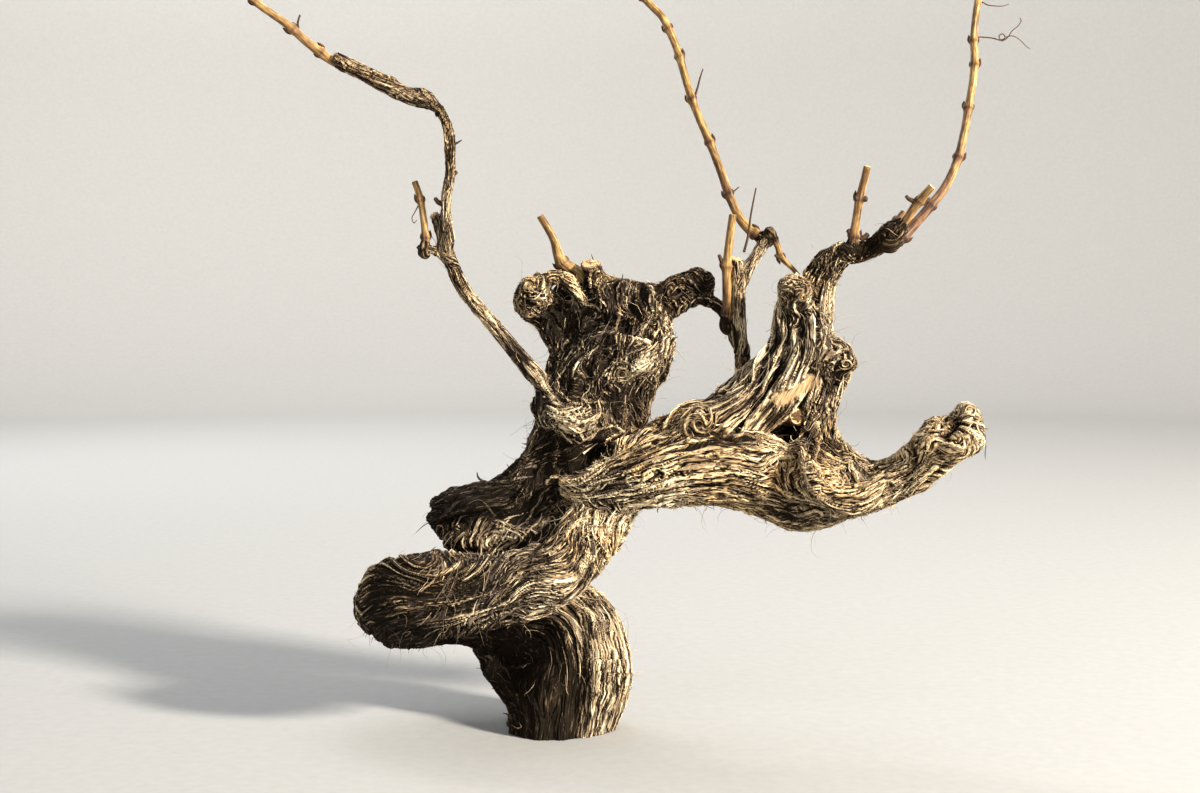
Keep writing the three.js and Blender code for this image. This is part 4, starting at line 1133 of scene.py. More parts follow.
def bark_material():
    m, nt, b = shader("old_bark")
    flow = attribute(nt, "flow").outputs["Vector"]
    tone, warm, bare = (attribute(nt, k).outputs["Fac"] for k in ("tone", "warm", "bare"))
    fibre = node(nt, "ShaderNodeTexNoise", Scale=430.0, Detail=3.0, Roughness=0.6)
    nt.links.new(flow, fibre.inputs["Vector"])
    hair = node(nt, "ShaderNodeTexNoise", Scale=1150.0, Detail=2.0, Roughness=0.6)
    nt.links.new(flow, hair.inputs["Vector"])
    slit = node(nt, "ShaderNodeTexNoise", Scale=360.0, Detail=1.0, Roughness=0.5)
    nt.links.new(flow, slit.inputs["Vector"])
    f = math_node(nt, "SUBTRACT", fibre.outputs["Fac"], 0.5)
    h = math_node(nt, "SUBTRACT", hair.outputs["Fac"], 0.5)
    line = math_node(nt, "ABSOLUTE", math_node(nt, "SUBTRACT", slit.outputs["Fac"], 0.5))
    line = math_node(nt, "SUBTRACT", 1.0, math_node(nt, "MULTIPLY", line, 19.0), clamp=True)
    t = math_node(nt, "ADD", tone, math_node(nt, "MULTIPLY", f, 1.45))
    t = math_node(nt, "ADD", t, math_node(nt, "MULTIPLY", h, 0.6))
    t = math_node(nt, "SUBTRACT", t, math_node(nt, "MULTIPLY", line, 0.46))
    t = math_node(nt, "ADD", math_node(nt, "MULTIPLY", math_node(nt, "SUBTRACT", t, 0.5), 1.30), 0.575, clamp=True)
    col = ramp(nt, t, BARK_STOPS)
    tint = ramp(nt, warm, [(0.0, (0.97, 0.97, 0.96)), (0.45, (1.0, 0.95, 0.85)), (0.75, (1.0, 0.88, 0.69)), (1.0, (1.0, 0.79, 0.54))])
    col = mix_color(nt, 1.0, col, tint, "MULTIPLY")
    wood = ramp(nt, math_node(nt, "ADD", fibre.outputs["Fac"], math_node(nt, "MULTIPLY", h, 0.5)), [(0.3, (0.24, 0.135, 0.06)), (0.5, (0.50, 0.33, 0.165)), (0.68, (0.70, 0.52, 0.31))])
    col = mix_color(nt, math_node(nt, "MULTIPLY", bare, 0.9), col, wood)
    nt.links.new(col, b.inputs["Base Color"])
    b.inputs["Specular IOR Level"].default_value = 0.12
    rough = node(nt, "ShaderNodeMapRange")
    rough.inputs["To Min"].default_value, rough.inputs["To Max"].default_value = 0.98, 0.84
    nt.links.new(t, rough.inputs["Value"])
    nt.links.new(rough.outputs[0], b.inputs["Roughness"])
    bump = node(nt, "ShaderNodeBump", Strength=0.7, Distance=0.0022)
    high = math_node(nt, "ADD", f, math_node(nt, "MULTIPLY", h, 0.4))
    nt.links.new(math_node(nt, "SUBTRACT", high, math_node(nt, "MULTIPLY", line, 0.30)), bump.inputs["Height"])
    nt.links.new(bump.outputs[0], b.inputs["Normal"])
    return m


def fibre_material(name, color, spread=0.35):
    """Loose bark of one tone, with a fine grain of its own."""
    m, nt, b = shader(name)
    co = node(nt, "ShaderNodeTexCoord").outputs["Object"]
    n = node(nt, "ShaderNodeTexNoise", Scale=420.0, Detail=3.0, Roughness=0.6)
    nt.links.new(co, n.inputs["Vector"])
    dark = tuple(c * (1 - spread) for c in color)
    pale = tuple(min(1, c * (1 + spread)) for c in color)
    nt.links.new(ramp(nt, n.outputs["Fac"], [(0.32, dark), (0.5, color), (0.68, pale)]), b.inputs["Base Color"])
    b.inputs["Roughness"].default_value = 0.92
    b.inputs["Specular IOR Level"].default_value = 0.12
    bump = node(nt, "ShaderNodeBump", Strength=0.35, Distance=0.0005)
    nt.links.new(n.outputs["Fac"], bump.inputs["Height"])
    nt.links.new(bump.outputs[0], b.inputs["Normal"])
    return m


def cane_material():
    m, nt, b = shader("cane_bark")
    tone, red_and_shade = (attribute(nt, k).outputs["Fac"] for k in ("tone", "warm"))
    flow = attribute(nt, "flow").outputs["Vector"]
    streak = node(nt, "ShaderNodeTexNoise", Scale=620.0, Detail=3.0, Roughness=0.65)
    nt.links.new(flow, streak.inputs["Vector"])
    blot = node(nt, "ShaderNodeTexNoise", Scale=160.0, Detail=3.0, Roughness=0.55)
    nt.links.new(flow, blot.inputs["Vector"])
    f = math_node(nt, "SUBTRACT", streak.outputs["Fac"], 0.5)
    g = math_node(nt, "SUBTRACT", blot.outputs["Fac"], 0.5)
    t = math_node(nt, "ADD", tone, math_node(nt, "MULTIPLY", f, 1.7))
    t = math_node(nt, "ADD", t, math_node(nt, "MULTIPLY", g, 1.1), clamp=True)
    gold = ramp(nt, t, [(0.0, (0.012, 0.006, 0.004)), (0.25, (0.064, 0.030, 0.011)), (0.5, (0.200, 0.108, 0.030)), (0.75, (0.38, 0.232, 0.066)), (1.0, (0.62, 0.44, 0.17))])
    rust = ramp(nt, t, [(0.0, (0.010, 0.005, 0.004)), (0.3, (0.055, 0.020, 0.011)), (0.6, (0.15, 0.060, 0.027)), (1.0, (0.34, 0.17, 0.08))])
    # the rust ramp is the canes' reddish bark, and painted shade on their left and under sides
    nt.links.new(mix_color(nt, red_and_shade, gold, rust), b.inputs["Base Color"])
    b.inputs["Roughness"].default_value = 0.58
    b.inputs["Specular IOR Level"].default_value = 0.35
    bump = node(nt, "ShaderNodeBump", Strength=0.5, Distance=0.0006)
    nt.links.new(math_node(nt, "ADD", f, g), bump.inputs["Height"])
    nt.links.new(bump.outputs[0], b.inputs["Normal"])
    return m


def cut_material():
    m, nt, b = shader("cut_wood")
    tone, flow = attribute(nt, "tone").outputs["Fac"], attribute(nt, "flow").outputs["Vector"]
    n = node(nt, "ShaderNodeTexNoise", Scale=900.0, Detail=3.0, Roughness=0.6)
    nt.links.new(flow, n.inputs["Vector"])
    t = math_node(nt, "ADD", tone, math_node(nt, "MULTIPLY", math_node(nt, "SUBTRACT", n.outputs["Fac"], 0.5), 0.45), clamp=True)
    col = ramp(nt, t, [(0.0, (0.060, 0.032, 0.018)), (0.3, (0.26, 0.15, 0.070)), (0.6, (0.56, 0.38, 0.185)), (0.82, (0.76, 0.58, 0.34)), (1.0, (0.98, 0.72, 0.32))])
    nt.links.new(col, b.inputs["Base Color"])
    b.inputs["Roughness"].default_value = 0.85
    b.inputs["Specular IOR Level"].default_value = 0.15
    bump = node(nt, "ShaderNodeBump", Strength=0.4, Distance=0.0005)
    nt.links.new(n.outputs["Fac"], bump.inputs["Height"])
    nt.links.new(bump.outputs[0], b.inputs["Normal"])
    return m


OLD_BARK, CANE, CUT = bark_material(), cane_material(), cut_material()
LOOSE = [
    fibre_material("loose_bark_cream", (0.68, 0.56, 0.37)),
    fibre_material("loose_bark_straw", (0.50, 0.385, 0.235)),
    fibre_material("loose_bark_tan", (0.30, 0.21, 0.125)),
    fibre_material("loose_bark_grey", (0.185, 0.145, 0.115)),
    fibre_material("loose_bark_dark", (0.062, 0.045, 0.034)),
]

# ------------------------------------------------------------------ loose strips, peeling ends and fine fibres
tree = KDTree(len(D))
for i, p in enumerate(D):
    tree.insert(p, i)
tree.balance()
NS = normals_of(fine)


def slide(i, p, way):
    """The nearest vertex to p, and p laid onto the surface there."""
    _, j, _ = tree.find(p)
    n = N[j]
    return j, p - n * (n @ (p - D[j]))


def loose_strip(i, length, width, thick, lift, curl, sway, way, segs):
    """A thin closed strip of bark that leaves the surface towards one end. Its root is under the surface."""
    j, q = i, D[i].copy()
    high, ds = -0.0009, length / segs
    side0 = None
    rings = []
    for k in range(segs + 1):
        t = k / segs
        n, f = N[j], flow_dir[j] * way
        if side0 is None:
            side0 = f
        if f @ side0 < 0:
            f = -f
        side0 = f
        b = np.cross(f, n)
        phi = lift * t**1.6 + curl * max(0.0, t - 0.45) ** 2 / 0.3
        d = f * math.cos(phi) + n * math.sin(phi)
        up = n * math.cos(phi) - f * math.sin(phi)
        p = q + n * high + b * (sway * t * t)
        w = width * (0.35 + 0.65 * math.sin(math.pi * min(1.0, 0.16 + 0.74 * t)) ** 0.7) * (1 - 0.55 * max(0, t - 0.75) / 0.25)
        rings.append((p, b, up, w))
        j, q = slide(j, q + f * (ds * math.cos(phi)), way)
        high += ds * math.sin(phi)
    verts = []
    for p, b, up, w in rings:
        verts += [p - b * w / 2 + up * thick * 0.4, p + up * thick, p + b * w / 2 + up * thick * 0.4, p - up * thick * 0.4]
    return np.array(verts)


def ring_faces(rings, sides, at):
    i = np.arange(rings - 1)[:, None] * sides
    j = np.arange(sides)[None]
    k = (j + 1) % sides
    quads = np.stack([i + j, i + k, i + sides + k, i + sides + j], -1).reshape(-1, 4) + at
    return quads


rng = np.random.RandomState(SEED + 9)
area_w = shag_all * (0.25 + smooth(-0.6, 0.8, fbm(P * 13.0 + 1.0, 2, 91))) * (P[:, 2] > 0.012) * (1 - BARE)
area_w *= np.where(((EYE - P) * N).sum(1) > 0, 1.25, 0.8) * (1 - 0.85 * np.clip(PAINTED_SHADE, 0, 1))
cumulative = np.cumsum(area_w / area_w.sum())


def seeds(n):
    return np.minimum(len(P) - 1, np.searchsorted(cumulative, rng.rand(n)))


def inside_box(v, margin=0.0006):
    lo, hi = np.array(CAD_LO) + margin, np.array(CAD_HI) - margin
    return (v >= lo).all() and (v <= hi).all()


STRIPS = 4200
strip_v, strip_f, strip_m, at = [], [], [], 0
for i in seeds(STRIPS):
    thin = min(1.0, limb_r[i] / 0.03)
    length = float(np.clip(rng.lognormal(math.log(0.027), 0.45), 0.010, 0.080)) * (0.45 + 0.55 * thin)
    width = float(np.clip(rng.lognormal(math.log(0.0017), 0.45), 0.0008, 0.0055)) * (0.45 + 0.55 * thin)
    wild = rng.rand()
    lift = rng.uniform(0.03, 0.15) if wild < 0.80 else rng.uniform(0.2, 0.55)
    curl = 0.0 if wild < 0.86 else rng.uniform(0.5, 3.0)
    sway = rng.normal() * 0.0010 * (1 if wild < 0.80 else 3.0)
    segs = 5 if wild < 0.86 else 9
    v = loose_strip(i, length, width, rng.uniform(0.00032, 0.0006), lift, curl, sway, rng.choice([-1, 1]), segs)
    if not inside_box(v) or v[:, 2].min() < 0.001:
        continue
    strip_v.append(v)
    strip_f.append(ring_faces(segs + 1, 4, at))
    strip_f.append(np.array([[at + 3, at + 2, at + 1, at], [at + 4 * segs + k for k in range(4)]]))
    # a strip takes the tone of the bark under it, painted light and shade included
    tone = TONE[i] + 0.04 + rng.normal() * 0.16 + (0.08 if wild > 0.80 else 0)
    strip_m.append((int(np.clip(np.digitize(tone, [0.20, 0.36, 0.52, 0.70]), 0, 4)), 4 * segs + 2))
    at += len(v)

# curls of bark that stand out at knots: place in the picture, outer radius mm, turns, height mm, start angle
skin = BVHTree.FromPolygons([tuple(p) for p in D], [tuple(int(i) for i in q) for q in Q])


def on_skin(u, v):
    p, n, _, _ = skin.ray_cast(Vector(EYE), Vector(ray(u, v)))
    return (np.array(p), np.array(n)) if p is not None else (None, None)


CURLS = [
    (622, 374, 12.5, 1.35, 10.0, 0.4, 4),
    (539, 301, 6.0, 1.3, 5.0, 1.0, 2),
    (528, 286, 7.0, 1.4, 5.0, 2.0, 3),
    (530, 315, 6.0, 1.3, 4.5, 3.0, 2),
    (698, 424, 12.5, 1.5, 5.0, 1.2, 2),
    (846, 364, 9.0, 1.2, 6.0, 0.3, 3),
    (803, 298, 8.5, 1.2, 6.0, 2.2, 3),
    (784, 277, 6.0, 1.2, 5.0, 0.9, 3),
    (950, 425, 6.5, 1.2, 5.0, 1.9, 2),
    (798, 416, 13.5, 1.25, 4.0, 0.7, 1),
]
for u, v, radius, turns, tall, start, shade in CURLS:
    place, n = on_skin(u, v)
    if place is None:
        continue
    toward = EYE - place
    toward /= np.linalg.norm(toward)
    n = n + 1.6 * toward
    n /= np.linalg.norm(n)
    a = np.cross(n, (0, 0, 1.0))
    a /= np.linalg.norm(a)
    b = np.cross(n, a)
    for wrap in range(2):
        segs = 26
        t = np.linspace(0, 1, segs + 1)
        w = start + 2.4 * wrap + 2 * np.pi * turns * t
        r = radius / 1000 * (1 - 0.30 * wrap) * (1 - 0.55 * t) * (1 + 0.06 * np.sin(3 * w))
        mid = place + (r * np.cos(w))[:, None] * a + (r * 0.82 * np.sin(w))[:, None] * b
        out = np.cos(w)[:, None] * a + np.sin(w)[:, None] * b
        high = tall / 1000 * (0.55 + 0.45 * np.sin(np.pi * np.clip(t * 0.9 + 0.1, 0, 1)))[:, None]
        thick = 0.0008 * (1 - 0.5 * np.abs(2 * t - 1) ** 3)[:, None]
        ring = np.stack([mid - out * thick, mid + n * high * 0.7, mid + out * thick, mid - n * 0.004], 1)
        strip_v.append(ring.reshape(-1, 3))
        strip_f.append(ring_faces(segs + 1, 4, at))
        strip_f.append(np.array([[at + 3, at + 2, at + 1, at], [at + 4 * segs + k for k in range(4)]]))
        strip_m.append((min(4, shade + wrap), 4 * segs + 2))
        at += 4 * (segs + 1)


def joined_strips(name, v, f, m, per):
    """One mesh of many small things; m holds (material, faces) for each, and per, how many face blocks each has, is not
    used.
    """
    ob = new_object(name, np.vstack(v), f, smooth_shade=False)
    for mat in reversed(LOOSE):
        ob.data.materials.append(mat)
    ob.data.polygons.foreach_set("material_index", np.repeat([4 - (4 - a) for a, _ in m], [n for _, n in m]).astype(np.int32))
    return ob


def split_joined(name, v, f, m):
    """Many small things as pieces under 200,000 triangles."""
    out, start, part = [], 0, 0
    while start < len(v):
        stop, faces = start, 0
        while stop < len(v) and faces + m[stop][1] < 96000:
            faces += m[stop][1]
            stop += 1
        base = sum(len(x) for x in v[:start])
        ob = joined_strips("%s_%d" % (name, part + 1), v[start:stop], [x - base for x in f[2 * start : 2 * stop]], m[start:stop], 2)
        out.append(ob)
        start, part = stop, part + 1
    return out


LOOSE_PIECES = split_joined("bark_strips", strip_v, strip_f, strip_m)

# fine fibres, thinner than a millimetre
HAIRS = 650
hair_v, hair_f, hair_m, at = [], [], [], 0
for i in seeds(HAIRS):
    thin = min(1.0, limb_r[i] / 0.03)
    if thin < 0.3:
        continue
    segs = 9
    length = rng.uniform(0.018, 0.060) * (0.5 + 0.5 * thin)
    r = rng.uniform(0.00016, 0.00036)
    j, q, high = i, D[i].copy(), -0.0012
    way, lift = rng.choice([-1, 1]), rng.uniform(0.1, 0.9)
    curl, sway = rng.uniform(-1.6, 2.6), rng.normal() * 0.7
    last, pts = None, []
    for k in range(segs + 1):
        t = k / segs
        n, f = N[j], flow_dir[j] * way
        if last is not None and f @ last < 0:
            f = -f
        last = f
        b = np.cross(f, n)
        phi = lift * min(1.0, 2.2 * t) + curl * t * t
        f2 = f * math.cos(sway * t) + b * math.sin(sway * t)
        pts.append(q + n * high)
        j, q = slide(j, q + f2 * (length / segs * math.cos(phi)), way)
        high += length / segs * math.sin(phi)
        high = max(high, 0.0002)
    pts = np.array(pts)
    tan = np.gradient(pts, axis=0)
    tan /= np.maximum(1e-9, np.linalg.norm(tan, axis=1))[:, None]
    a = np.cross(tan, N[i])
    a /= np.maximum(1e-9, np.linalg.norm(a, axis=1))[:, None]
    c = np.cross(tan, a)
    rr = r * (1 - 0.75 * np.linspace(0, 1, segs + 1) ** 2)
    v = np.concatenate([(pts + rr[:, None] * (math.cos(w) * a + math.sin(w) * c))[:, None] for w in (0, 2.094, 4.189)], 1).reshape(-1, 3)
    if not inside_box(v) or v[:, 2].min() < 0.001:
        continue
    hair_v.append(v)
    hair_f.append(ring_faces(segs + 1, 3, at))
    hair_f.append(np.array([[at + 2, at + 1, at], [at + 3 * segs + k for k in range(3)]]))
    hair_m.append((int(rng.choice([0, 1, 1, 2, 2, 3])), 3 * segs + 2))
    at += len(v)


def joined_mixed(name, v, f, m, mats, smooth_shade=True):
    """Like joined_strips, where the small things have quads and triangles: the faces keep their order."""
    flat = [row for block in f for row in block]
    me = bpy.data.meshes.new(name)
    me.from_pydata(np.vstack(v).tolist(), [], [list(map(int, r)) for r in flat])
    me.update()
    for mat in mats:
        me.materials.append(mat)
    me.polygons.foreach_set("material_index", np.repeat([a for a, _ in m], [n for _, n in m]).astype(np.int32))
    me.polygons.foreach_set("use_smooth", np.full(len(flat), smooth_shade))
    ob = bpy.data.objects.new(name, me)
    bpy.context.scene.collection.objects.link(ob)
    return ob


LOOSE_PIECES.append(joined_mixed("bark_fibres", hair_v, hair_f, hair_m, LOOSE[:4]))


# ------------------------------------------------------------------ the bark as closed pieces
def cut_flat(bm, co, no, keep_positive):
    """Cuts bm by a plane, drops one side and closes the cut."""
    geom = bm.verts[:] + bm.edges[:] + bm.faces[:]
    out = bmesh.ops.bisect_plane(bm, geom=geom, dist=1e-6, plane_co=co, plane_no=no, clear_inner=keep_positive, clear_outer=not keep_positive)
    rim = [e for e in out["geom_cut"] if isinstance(e, bmesh.types.BMEdge) and e.is_boundary]
    way = Vector(no) * (-1 if keep_positive else 1)
    flat = bmesh.ops.triangle_fill(bm, edges=rim, use_beauty=False, use_dissolve=False, normal=way)["geom"]
    # what the fill left open: loose bits are welded, and each loop that remains gets a face of its own
    open_rim = [e for e in bm.edges if e.is_boundary]
    if open_rim:
        bmesh.ops.remove_doubles(bm, verts=list({v for e in open_rim for v in e.verts}), dist=5e-6)
        open_rim = [e for e in bm.edges if e.is_boundary]
        more = bmesh.ops.holes_fill(bm, edges=open_rim, sides=0)["faces"]
        if more:
            flat = [g for g in flat if g.is_valid] + bmesh.ops.triangulate(bm, faces=more)["faces"]
    wires = [e for e in bm.edges if not e.link_faces]
    if wires:
        bmesh.ops.delete(bm, geom=wires, context="EDGES")
    for f in flat:
        if not (f.is_valid and isinstance(f, bmesh.types.BMFace)):
            continue
        f.normal_update()
        if f.normal.dot(way) < 0:
            f.normal_flip()
        f.smooth = False


def drop_crumbs(bm, least=400):
    """Leaves out any islet of few vertices."""
    bm.verts.ensure_lookup_table()
    seen_v = set()
    for v0 in bm.verts:
        if v0 in seen_v:
            continue
        isle, queue = {v0}, [v0]
        while queue:
            v = queue.pop()
            for e in v.link_edges:
                w = e.other_vert(v)
                if w not in isle:
                    isle.add(w)
                    queue.append(w)
        seen_v |= isle
        if len(isle) < least:
            bmesh.ops.delete(bm, geom=list(isle), context="VERTS")
            return drop_crumbs(bm, least)


whole = bmesh.new()
whole.from_mesh(fine)
cut_flat(whole, (0, 0, 0.0), (0, 0, 1), True)
drop_crumbs(whole)
# Each cut: a place and the plane's normal, then what is done with the side before it and the side behind it: another
# cut, or a piece's name.
CUTS = (
    (0, 0, 0.235),
    (0, 0, 1),
    ((-0.055, 0, 0), (1, 0, 0), "bark_loop", "bark_foot"),
    (
        (0.150, 0, 0),
        (1, 0, 0),
        ((0, 0, 0.400), (0, 0, 1), "bark_torso", "bark_head"),
        ((0, 0, 0.425), (0, 0, 1), "bark_right_bend", "bark_right_top"),
    ),
)
BARK_PIECES = {}


def divide(bm, plan):
    if isinstance(plan, str):
        mesh = bpy.data.meshes.new(plan)
        bm.to_mesh(mesh)
        mesh.materials.append(OLD_BARK)
        ob = bpy.data.objects.new(plan, mesh)
        bpy.context.scene.collection.objects.link(ob)
        BARK_PIECES[plan] = ob
        mesh.calc_loop_triangles()
        open_edges = sum(1 for e in bm.edges if len(e.link_faces) != 2)
        print(plan, len(mesh.loop_triangles), "triangles", open_edges, "open edges")
        bm.free()
        return
    place, way, before, behind = plan
    other = bm.copy()
    cut_flat(other, place, way, False)
    divide(other, before)
    cut_flat(bm, place, way, True)
    divide(bm, behind)


divide(whole, CUTS)

# ------------------------------------------------------------------ canes
def project(p):
    """Image place of points, in px."""
    rel = np.atleast_2d(p) - EYE
    f = np.array([0, math.cos(TILT), -math.sin(TILT)])
    up = np.array([0, math.sin(TILT), math.cos(TILT)])
    depth = rel @ f
    return np.stack([600 + FOCAL * rel[:, 0] / depth, 396.5 - FOCAL * (rel @ up) / depth], 1)


def course_place(limb, u, v):
    """The distance along a limb of its sample nearest to an image place, and how far off it is in px."""
    c = COURSES[limb]
    d = np.hypot(*(project(c.p) - (u, v)).T)
    k = int(d.argmin())
    return c.s[k], d[k], k


# Nodes that show on the canes, as image places.
CANE_NODES = {
    "left_spur_cane": [(422, 200)],
    "middle_cane": [(707, 143), (669, 29)],
    "middle_side_cane": [(781, 255)],
    "middle_spur_cane": [(727, 267)],
    "right_upright_spur": [(861, 198)],
    "right_second_spur": [(916, 200)],
    "right_cane": [(960, 158), (969, 109), (974, 64), (970, 40)],
    "left_cane": [(321, 50), (289, 31)],
}
NODE_GAP = 0.058


def node_places(limb):
    c = COURSES[limb]
    known = sorted(s for s, off, _ in (course_place(limb, u, v) for u, v in CANE_NODES.get(limb, [])) if off < 25)
    s, out = 0.018, []
    while s < c.length - 0.012:
        near = [k for k in known if abs(k - s) < 0.55 * NODE_GAP]
        if near:
            s = near[0]
            known = [k for k in known if k > s + 1e-4]
        out.append(s)
        nxt = [k for k in known if k > s + 0.012]
        step = NODE_GAP * (0.9 + 0.25 * rng.rand())
        s = nxt[0] if nxt and nxt[0] < s + 1.3 * step else s + step
    return out


BUDS, CANE_OBJECTS, COLLARS, COLLAR_TONE, COLLAR_FLOW = [], [], [], [], []
# how red each cane is at its base and tip
CANE_RED = {
    "right_cane": (0.85, 0.15),
    "right_second_spur": (0.5, 0.2),
    "right_upright_spur": (0.55, 0.35),
    "right_short_spur": (0.5, 0.4),
    "left_cane": (0.45, 0.25),
    "middle_cane": (0.35, 0.15),
    "middle_side_cane": (0.35, 0.2),
    "middle_spur_cane": (0.5, 0.3),
    "head_spur_cane": (0.35, 0.15),
    "left_spur_cane": (0.55, 0.35),
}


# how far up from its base the bark of a cane is dark, in m
LOW_END = {"right_cane": 0.090, "head_spur_cane": 0.045, "middle_spur_cane": 0.055, "right_upright_spur": 0.025}
# a cane whose end passes behind a knob goes on a little further there, in m
FARTHER = {"middle_side_cane": (0.010, 0.004, -0.011)}


def make_cane(limb, order):
    c = COURSES[limb]
    if limb in FARTHER:
        last = np.append(c.p[-1] + np.array(FARTHER[limb]), c.r[-1] * 0.9) * 1000
        c = Course([list(row) for row in GUIDES[limb]] + [list(last)])
    places = np.array(node_places(limb))
    sides = 20
    step = 0.0016
    end = c.length - 0.0012
    n = int(end / step) + 1
    s = np.linspace(0.0, end, n)
    kk = s / c.length * (len(c.s) - 1)
    pick = lambda a: np.stack([np.interp(kk, np.arange(len(a)), a[:, j]) for j in range(3)], 1)
    p, t, u = pick(c.p), pick(c.t), pick(c.u)
    t /= np.linalg.norm(t, axis=1)[:, None]
    u -= t * (u * t).sum(1)[:, None]
    u /= np.linalg.norm(u, axis=1)[:, None]
    v = np.cross(t, u)
    r = np.interp(kk, np.arange(len(c.r)), c.r)
    a = np.linspace(0, 2 * np.pi, sides, endpoint=False)[None]
    swell = np.zeros(n)
    dark = np.zeros(n)
    bow = np.zeros(n)
    for j, q in enumerate(places):
        ds = s - q
        swell += 0.07 * np.exp(-((ds / 0.0040) ** 2)) + 0.06 * np.exp(-((ds / 0.012) ** 2))
        dark += 0.55 * np.exp(-(((ds + 0.001) / 0.0014) ** 2)) + 0.25 * np.exp(-((ds / 0.006) ** 2))
        bow += (0.0007 if j % 2 else -0.0007) * np.maximum(0, 1 - np.abs(ds) / (0.5 * NODE_GAP))
    near_tip = smooth(0.0, 0.02, end - s)
    swell *= near_tip
    # the buds stand on the two sides of the cane that show from the front, turned a little
    flat = np.cross(t, (0.0, 1.0, 0.0))
    flat /= np.linalg.norm(flat, axis=1)[:, None]
    roll = 0.45 * math.sin(2.3 * order + 0.6)
    way = math.cos(roll) * flat + math.sin(roll) * np.cross(t, flat)
    az = np.arctan2((way * v).sum(1), (way * u).sum(1))[:, None]
    p = p + way * (bow * near_tip * smooth(0, 0.02, s))[:, None]
    q3 = np.stack([(r[:, None] * np.cos(a)).ravel(), (r[:, None] * np.sin(a)).ravel(), np.repeat(s, sides)], 1)
    q3n = q3 * (900, 900, 45) + order * 11.3
    rib = 1 - 1.6 * np.abs(perlin(q3n, 20))
    bumpy = fbm(q3 * (260, 260, 120) + order * 5.1, 2, 22)
    lump = np.zeros((n, sides))
    for j, q in enumerate(places):
        face = az + (0 if j % 2 else np.pi)
        lump += 0.34 * np.exp(-(((s - q) / 0.0046) ** 2))[:, None] * np.clip(np.cos(a - face), 0, 1) ** 2
        lump += 0.22 * np.exp(-(((s - q) / 0.0036) ** 2))[:, None] * np.clip(-np.cos(a - face), 0, 1) ** 2
    radius = r[:, None] * (1 + swell[:, None] + lump * near_tip[:, None]) + ((0.00016 * (rib - 0.5) + 0.00022 * bumpy).reshape(n, sides)) * (0.3 + 0.7 * near_tip[:, None])
    radius = radius - 0.00025
    w = radius[..., None] * (np.cos(a)[..., None] * u[:, None] + np.sin(a)[..., None] * v[:, None])
    verts = (p[:, None] + w).reshape(-1, 3)
    outward = (w / np.linalg.norm(w, axis=2, keepdims=True)).reshape(-1, 3)
    share = np.repeat(s / end, sides)
    red0, red1 = CANE_RED.get(limb, (0.4, 0.2))
    red_and_shade = red0 + (red1 - red0) * smooth(0, 0.5, share)
    # the left and under sides are made redder and darker, which is painted shade; the nodes are redder too
    red_and_shade = np.clip(red_and_shade + 0.38 * (-outward[:, 0] * 0.8 - outward[:, 2] * 0.5 - 0.1) + 0.35 * np.repeat(dark, sides) + 0.18 * fbm(q3 * (90, 90, 26) + order, 2, 25), 0, 1)
    low = smooth(LOW_END.get(limb, 0.030), 0.004, np.repeat(s, sides))
    tone = 0.50 - 0.30 * low + 0.24 * rib + 0.20 * bumpy - 0.50 * np.clip(np.repeat(dark, sides), 0, 1) * (0.7 + 0.5 * bumpy) + 0.24 * fbm(q3 * (60, 60, 22) + 3.0 + order, 2, 27)
    flow = q3 * (1, 1, 0.06) + order * 0.31
    # the cut end: a rim of bark, the wood, and a sunk dark pith
    quads = ring_faces(n, sides, 0)
    tipc, tt, rt = p[-1], t[-1], float(r[-1])
    slope = 0.28
    lean_dir = math.cos(2.1 * order) * u[-1] + math.sin(2.1 * order) * v[-1]
    cap_v, cap_tone, prev, rows = [], [], (n - 1) * sides, []
    for share_r, drop, tn in ((0.90, 0.0003, 0.55), (0.72, 0.0, 0.85), (0.42, -0.0002, 0.75), (0.30, -0.0008, 0.18), (0.12, -0.0011, 0.10)):
        ring = tipc + rt * share_r * (np.cos(a)[0][:, None] * u[-1] + np.sin(a)[0][:, None] * v[-1]) + tt * (drop)
        cap_v.append(ring)
        cap_tone += [tn] * sides
        rows.append(tn)
    m0 = len(verts)
    verts = np.vstack([verts] + cap_v + [tipc[None] - tt[None] * 0.0011, p[:1]])
    base = (n - 1) * sides
    j = np.arange(sides)
    k = (j + 1) % sides
    cap_q = []
    before = base
    for row in range(len(rows)):
        here = m0 + row * sides
        cap_q.append(np.stack([before + j, before + k, here + k, here + j], 1))
        before = here
    centre, root = len(verts) - 2, len(verts) - 1
    tris = np.concatenate([np.stack([np.full(sides, centre), before + j, before + k], 1), np.stack([np.full(sides, root), k, j], 1)])
    ob = new_object("cane_" + limb if not limb.endswith("cane") else limb + "_bark", verts, [np.concatenate([quads] + cap_q), tris])
    ob.data.materials.append(CANE)
    ob.data.materials.append(CUT)
    mats = np.zeros(len(ob.data.polygons), np.int32)
    mats[len(quads) : len(quads) + sides * len(rows)] = 1
    mats[len(quads) + sides * len(rows) : len(quads) + sides * len(rows) + sides] = 1
    ob.data.polygons.foreach_set("material_index", mats)
    extra = len(verts) - m0
    give(ob.data, "tone", np.concatenate([np.clip(tone, 0, 1), cap_tone, [0.1, 0.3]]))
    give(ob.data, "warm", np.concatenate([red_and_shade, np.full(extra, 0.2)]))
    give(ob.data, "flow", np.vstack([flow, verts[m0:]]))
    for jn, q in enumerate(places):
        if q < 0.012 or q > end - 0.008:
            continue
        i = int(round(q / end * (n - 1)))
        side = way[i] * (1 if jn % 2 else -1)
        BUDS.append((p[i] + side * r[i] * 1.30, side, t[i], min(0.0066, 1.0 * r[i] + 0.0022)))
        BUDS.append((p[i] - side * r[i] * 1.18 - t[i] * 0.001, -side, t[i], min(0.0044, 0.65 * r[i] + 0.0016)))
    CANE_OBJECTS.append((ob, limb))
